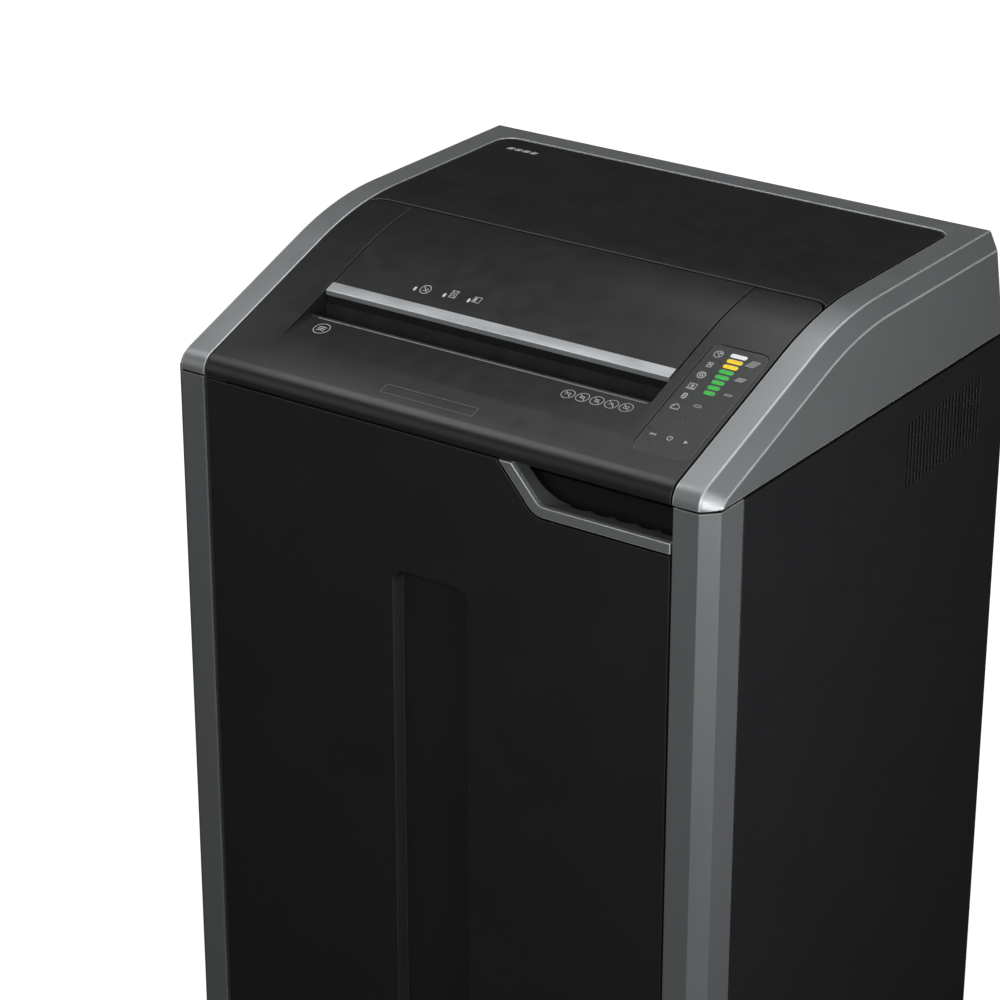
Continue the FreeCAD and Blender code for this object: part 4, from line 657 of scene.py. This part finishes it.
def panel_marks():
    """Plain pictograms on the control panel: states on the left, sheet loads on the right."""
    mark = Print("control_glass")
    left, right = 217.0, 256.5
    slashed_ring(mark.at(left, -117.6), 4.4)
    mark.fill(rectangle(2.4, 2.0, 0.0, (1.6, 1.6)))
    mark.at(left, -133.0).stroke(rectangle(4.6, 6.0), 0.8, closed=True)
    mark.fill(rectangle(2.2, 2.6, 0.4, (0.0, 0.3)))
    mark.at(left, -147.8).stroke(circle(3.9), 1.2, closed=True)
    mark.stroke(circle(1.5), 1.0, closed=True)
    mark.at(left, -163.2).stroke(rectangle(7.6, 5.6), 0.7, closed=True)
    mark.fill(circle(1.5, steps=12))
    mark.stroke([(-4.8, -4.2), (4.8, -4.2)], 1.0)
    mark.at(left, -177.5).stroke(rectangle(3.8, 6.2, 1.2), 1.3, closed=True)
    mark.fill(rectangle(0.9, 2.6))
    mark.at(left, -192.5).stroke([(-4.0, 1.0), (-4.0, -3.4), (4.0, -3.4), (4.0, 1.0)], 0.9)
    mark.stroke(circle(2.6, 20, 200, 10, (0.0, 0.4)), 0.9)
    mark.fill([(-4.0, 1.4), (-1.2, 1.4), (-2.6, -0.8)])
    sheet_stack(mark.at(right, -120.2), 8.0, 7.6, 5)
    sheet_stack(mark.at(right, -142.5), 7.6, 4.4, 3)
    sheet_stack(mark.at(right, -164.0), 7.2, 1.8, 0)
    mark.at(237.0, -186.0).stroke(rectangle(7.6, 2.8, 1.3), 0.6, closed=True)
    key_line = -231.5
    mark.at(217.5, key_line).fill([(0.0, -1.6), (0.0, 1.6), (-2.6, 0.0)])
    mark.fill([(3.0, -1.6), (3.0, 1.6), (0.4, 0.0)])
    mark.stroke([(-3.0, -1.6), (-3.0, 1.6)], 0.7)
    mark.at(235.7, key_line).stroke(circle(2.5, 115, 425, 20), 0.8)
    mark.stroke([(0.0, 0.6), (0.0, 3.4)], 0.8)
    mark.at(253.4, key_line).fill([(-1.9, -2.2), (2.4, 0.0), (-1.9, 2.2)])
    mark.done("panel_marks", WHITE_INK)


def feed_marks():
    """Row of 'keep this out' rings on the feed tray, and a plain round mark at its left end."""
    mark = Print("front_fascia")
    pitch, first = 16.1, 105.0
    glyphs = (
        lambda: mark.stroke([(-2.5, -1.5), (-2.5, 1.8), (2.5, 1.8), (2.5, -1.5)], 0.7),
        lambda: mark.stroke(rectangle(5.0, 2.6, 1.2), 0.7, closed=True),
        lambda: mark.stroke(circle(2.2, steps=14), 0.7, closed=True),
        lambda: mark.stroke([(-3.0, -1.6), (0.0, 2.0), (3.0, -1.6)], 0.7),
        lambda: mark.stroke(rectangle(5.2, 3.6), 0.7, closed=True),
    )
    for i, glyph in enumerate(glyphs):
        slashed_ring(mark.at(first + pitch * i, -206.2 + 0.6 * i), 6.8, 0.7)
        glyph()
    mark.at(-192.0, -205.5).stroke(circle(8.6, steps=32), 0.8, closed=True)
    for v in (-2.8, 0.0, 2.8):
        mark.stroke([(-4.6, v - 0.6), (0.0, v + 0.6), (4.6, v - 0.6)], 1.1)
    mark.done("feed_marks", WHITE_INK)


def status_marks():
    """Three pictograms beside the status lights, over a near-black line of painted shade in place of
    a fine groove.
    """
    mark = Print("entry_panel")
    slashed_ring(mark.at(-119.0, -129.3), 5.8, 0.9)
    mark.stroke([(-2.4, -2.0), (2.2, -2.0), (2.2, 2.2)], 0.8)
    mark.at(-86.0, -126.5).stroke(rectangle(6.8, 9.6), 0.8, closed=True)
    mark.stroke([(-2.4, -3.6), (2.4, 3.6)], 0.7)
    mark.stroke([(-2.4, 3.6), (2.4, -3.6)], 0.7)
    mark.at(-58.0, -126.5).stroke(rectangle(8.0, 7.6), 0.7, closed=True)
    mark.fill(rectangle(2.6, 5.6, 0.0, (-1.8, 0.0)))
    mark.done("status_marks", WHITE_INK)
    # Painted shade: a thin near-black strip on the surface, where the groove's shade would be.
    groove = Print("entry_panel", lift=0.06)
    groove.at(-90.5, -138.0).stroke([(-65.0, 0.0), (65.0, 0.0)], 1.1)
    groove.done("status_groove", GROOVE_PAINTED_SHADE)


def feed_lip():
    """Painted highlight: a bright line along the front lip of the slot, standing in for the light on
    its edge.
    """
    lip = Print("front_fascia", lift=0.12)
    lip.at(-11.5, -190.0).stroke([(-196.0, 0.0), (196.0, 0.0)], 1.1)
    lip.done("feed_lip", print_and_painted_light_ink("lip_painted_highlight", (0.30, 0.31, 0.32)))


def plain_badges():
    """Blank shapes in place of lettering: an outline on the nose and four bars on the lid."""
    plate = Print("front_fascia", lift=0.35)
    outline = [(-54.0, -5.6), (55.0, -5.6), (55.8, 5.6), (-53.2, 5.6)]
    plate.at(-18.0, -263.5).stroke(outline, 0.7, closed=True)
    plate.done("front_badge", GREY_INK)
    bars = Print("service_lid", lift=0.2)
    for i in range(4):
        bars.at(-246.0 + 10.0 * i, 201.0).fill([(-4.2, -3.2), (2.6, -3.2), (4.6, 3.2), (-2.2, 3.2)])
    bars.done("lid_badge", print_and_painted_light_ink("badge_ink", (0.50, 0.51, 0.52)))


# ---------------------------------------------------------------- lights behind the panels
def mesh_islands(bm):
    """Groups of vertices that hang together."""
    left = set(bm.verts)
    groups = []
    while left:
        queue = [left.pop()]
        group = list(queue)
        while queue:
            for edge in queue.pop().link_edges:
                for vert in edge.verts:
                    if vert in left:
                        left.remove(vert)
                        queue.append(vert)
                        group.append(vert)
        groups.append(group)
    return groups


def light_piece(name, wanted, material):
    """The light guides whose centres pass the test, as one piece."""
    bm = clean_bmesh("indicator_lights")
    others = []
    for group in mesh_islands(bm):
        centre = sum((v.co for v in group), Vector()) / len(group)
        if not wanted(centre / MM):
            others += group
    bmesh.ops.delete(bm, geom=others, context="VERTS")
    round_edges(bm, 0.2, 2)
    mesh = bpy.data.meshes.new(name)
    bm.to_mesh(mesh)
    bm.free()
    piece = add_piece(name, mesh, NODES["indicator_lights"]["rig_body"], material)
    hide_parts("indicator_lights")
    smooth_shading(piece)


def indicator_pieces():
    """Load gauge: green, then amber, then white at the back; status lights on the left."""
    gauge_x = 200.0
    amber_from, white_from = -134.0, -118.5
    light_piece("gauge_green", lambda c: c.x > gauge_x and c.y < amber_from,
                light_guide("green_light", (0.035, 0.42, 0.060), 0.35))
    light_piece("gauge_amber", lambda c: c.x > gauge_x and amber_from <= c.y < white_from,
                light_guide("amber_light", (0.86, 0.60, 0.015), 0.35))
    light_piece("gauge_white", lambda c: c.x > gauge_x and c.y >= white_from,
                light_guide("white_light", (0.80, 0.82, 0.84), 0.25))
    light_piece("status_lights", lambda c: c.x <= gauge_x,
                light_guide("status_light", (0.66, 0.68, 0.70), 0.10))


panel_marks()
feed_marks()
status_marks()
feed_lip()
plain_badges()
indicator_pieces()


# ---------------------------------------------------------------- camera, lights, floor
CAMERA_AZIMUTH = math.radians(35.155)        # from straight in front, towards the right
CAMERA_ELEVATION = math.radians(24.078)
CAMERA_PLACE = (1.7400, -2.6401, 2.1959)
CAMERA_LENS = 119.95                         # millimetres, on a 36 mm sensor


def photo_camera():
    """Long lens from the front right, above the hood."""
    azimuth, elevation = CAMERA_AZIMUTH, CAMERA_ELEVATION
    data = bpy.data.cameras.new("photo_view")
    data.sensor_width = 36.0
    data.lens = CAMERA_LENS
    data.clip_end = 100.0
    camera = bpy.data.objects.new("photo_view", data)
    camera.location = CAMERA_PLACE
    back = Vector((math.sin(azimuth) * math.cos(elevation),
                   -math.cos(azimuth) * math.cos(elevation), math.sin(elevation)))
    camera.rotation_mode = "QUATERNION"
    camera.rotation_quaternion = (-back).to_track_quat("-Z", "Y")
    bpy.context.scene.collection.objects.link(camera)
    bpy.context.scene.camera = camera


def softbox(name, place, target, side, watts):
    """Square soft light, seen only by what it lights."""
    data = bpy.data.lights.new(name, "AREA")
    data.shape = "RECTANGLE"
    data.size = side
    data.size_y = side
    data.energy = watts
    lamp = bpy.data.objects.new(name, data)
    lamp.location = place
    aim = Vector(target) - Vector(place)
    lamp.rotation_mode = "QUATERNION"
    lamp.rotation_quaternion = aim.to_track_quat("-Z", "Y")
    lamp.visible_camera = False
    bpy.context.scene.collection.objects.link(lamp)


def round_the_object(azimuth, elevation, distance=3.2):
    """Place on a sphere round the machine; azimuth 0 is straight in front, 90 to its right."""
    a, e = math.radians(azimuth), math.radians(elevation)
    return (distance * math.sin(a) * math.cos(e), -distance * math.cos(a) * math.cos(e),
            MIDDLE[2] + distance * math.sin(e))


MIDDLE = (0.0, 0.0, 0.85)        # what the far boxes point at
HOOD = (0.2, -0.2, 0.95)         # what the near boxes point at
FAR_SIDE = 1.5                   # side of a far box
NEAR_SIDE = 0.7                  # side of a near box
ROOM_GLOW = 0.037                # light from all round


def studio():
    """Far soft boxes at the left, in front and behind; near ones round the hood."""
    softbox("left", round_the_object(-75, 40), MIDDLE, FAR_SIDE, 8.9)
    softbox("front_left", round_the_object(-40, 15), MIDDLE, FAR_SIDE, 4.7)
    softbox("behind", round_the_object(-160, 65), MIDDLE, FAR_SIDE, 20)
    softbox("front_right", round_the_object(20, 25), MIDDLE, FAR_SIDE, 35)
    softbox("near_right", (1.6, -0.6, 1.0), HOOD, NEAR_SIDE, 12.6)
    softbox("near_top", (1.4, -0.3, 1.8), HOOD, NEAR_SIDE, 3.5)
    softbox("near_low", (1.2, -1.4, 0.7), HOOD, NEAR_SIDE, 1.2)
    softbox("over_nose", (-0.45, -0.3, 1.9), HOOD, NEAR_SIDE, 3.7)
    world = bpy.data.worlds.new("studio")
    world.use_nodes = True
    tree = world.node_tree
    room = tree.nodes["Background"]
    room.inputs["Color"].default_value = (1.0, 1.0, 1.0, 1.0)
    room.inputs["Strength"].default_value = ROOM_GLOW
    backdrop = tree.nodes.new("ShaderNodeBackground")
    backdrop.inputs["Color"].default_value = (1.0, 1.0, 1.0, 1.0)
    seen = tree.nodes.new("ShaderNodeLightPath")
    choose = tree.nodes.new("ShaderNodeMixShader")
    tree.links.new(seen.outputs["Is Camera Ray"], choose.inputs["Fac"])
    tree.links.new(room.outputs["Background"], choose.inputs[1])
    tree.links.new(backdrop.outputs["Background"], choose.inputs[2])
    tree.links.new(choose.outputs["Shader"], tree.nodes["World Output"].inputs["Surface"])
    bpy.context.scene.world = world
    bpy.context.scene.view_settings.view_transform = "Standard"


FLOOR_RADIUS = 30.0
GLOW_FROM, GLOW_TO = 0.6, 2.4    # distances from the machine's middle over which the floor brightens
GLOW_NEAR, GLOW_FAR = 0.72, 1.0  # its glow at those distances


def floor():
    """Pale paper floor that takes a soft shadow and throws no light back."""
    bm = bmesh.new()
    bmesh.ops.create_circle(bm, cap_ends=True, radius=FLOOR_RADIUS, segments=64)
    mesh = bpy.data.meshes.new("floor")
    bm.to_mesh(mesh)
    bm.free()
    plane = bpy.data.objects.new("floor", mesh)
    bpy.context.scene.collection.objects.link(plane)
    f = Finish("floor_paper", (0.88, 0.88, 0.88), 0.85, specular=0.2)
    f.tint(f.span(f.noise(0.6, 2.0), 0.0, 1.0), (0.86, 0.86, 0.86))
    f.shader.inputs["Emission Color"].default_value = (1.0, 1.0, 1.0, 1.0)
    far = f.nodes.new("ShaderNodeVectorMath")
    far.operation = "LENGTH"
    f.links.new(f.place, far.inputs[0])
    glow = f.span(far.outputs["Value"], GLOW_NEAR, GLOW_FAR, GLOW_FROM, GLOW_TO)
    f.links.new(glow, f.shader.inputs["Emission Strength"])
    mesh.materials.append(f.material)
    plane.visible_diffuse = False
    plane.visible_glossy = False


photo_camera()
studio()
floor()
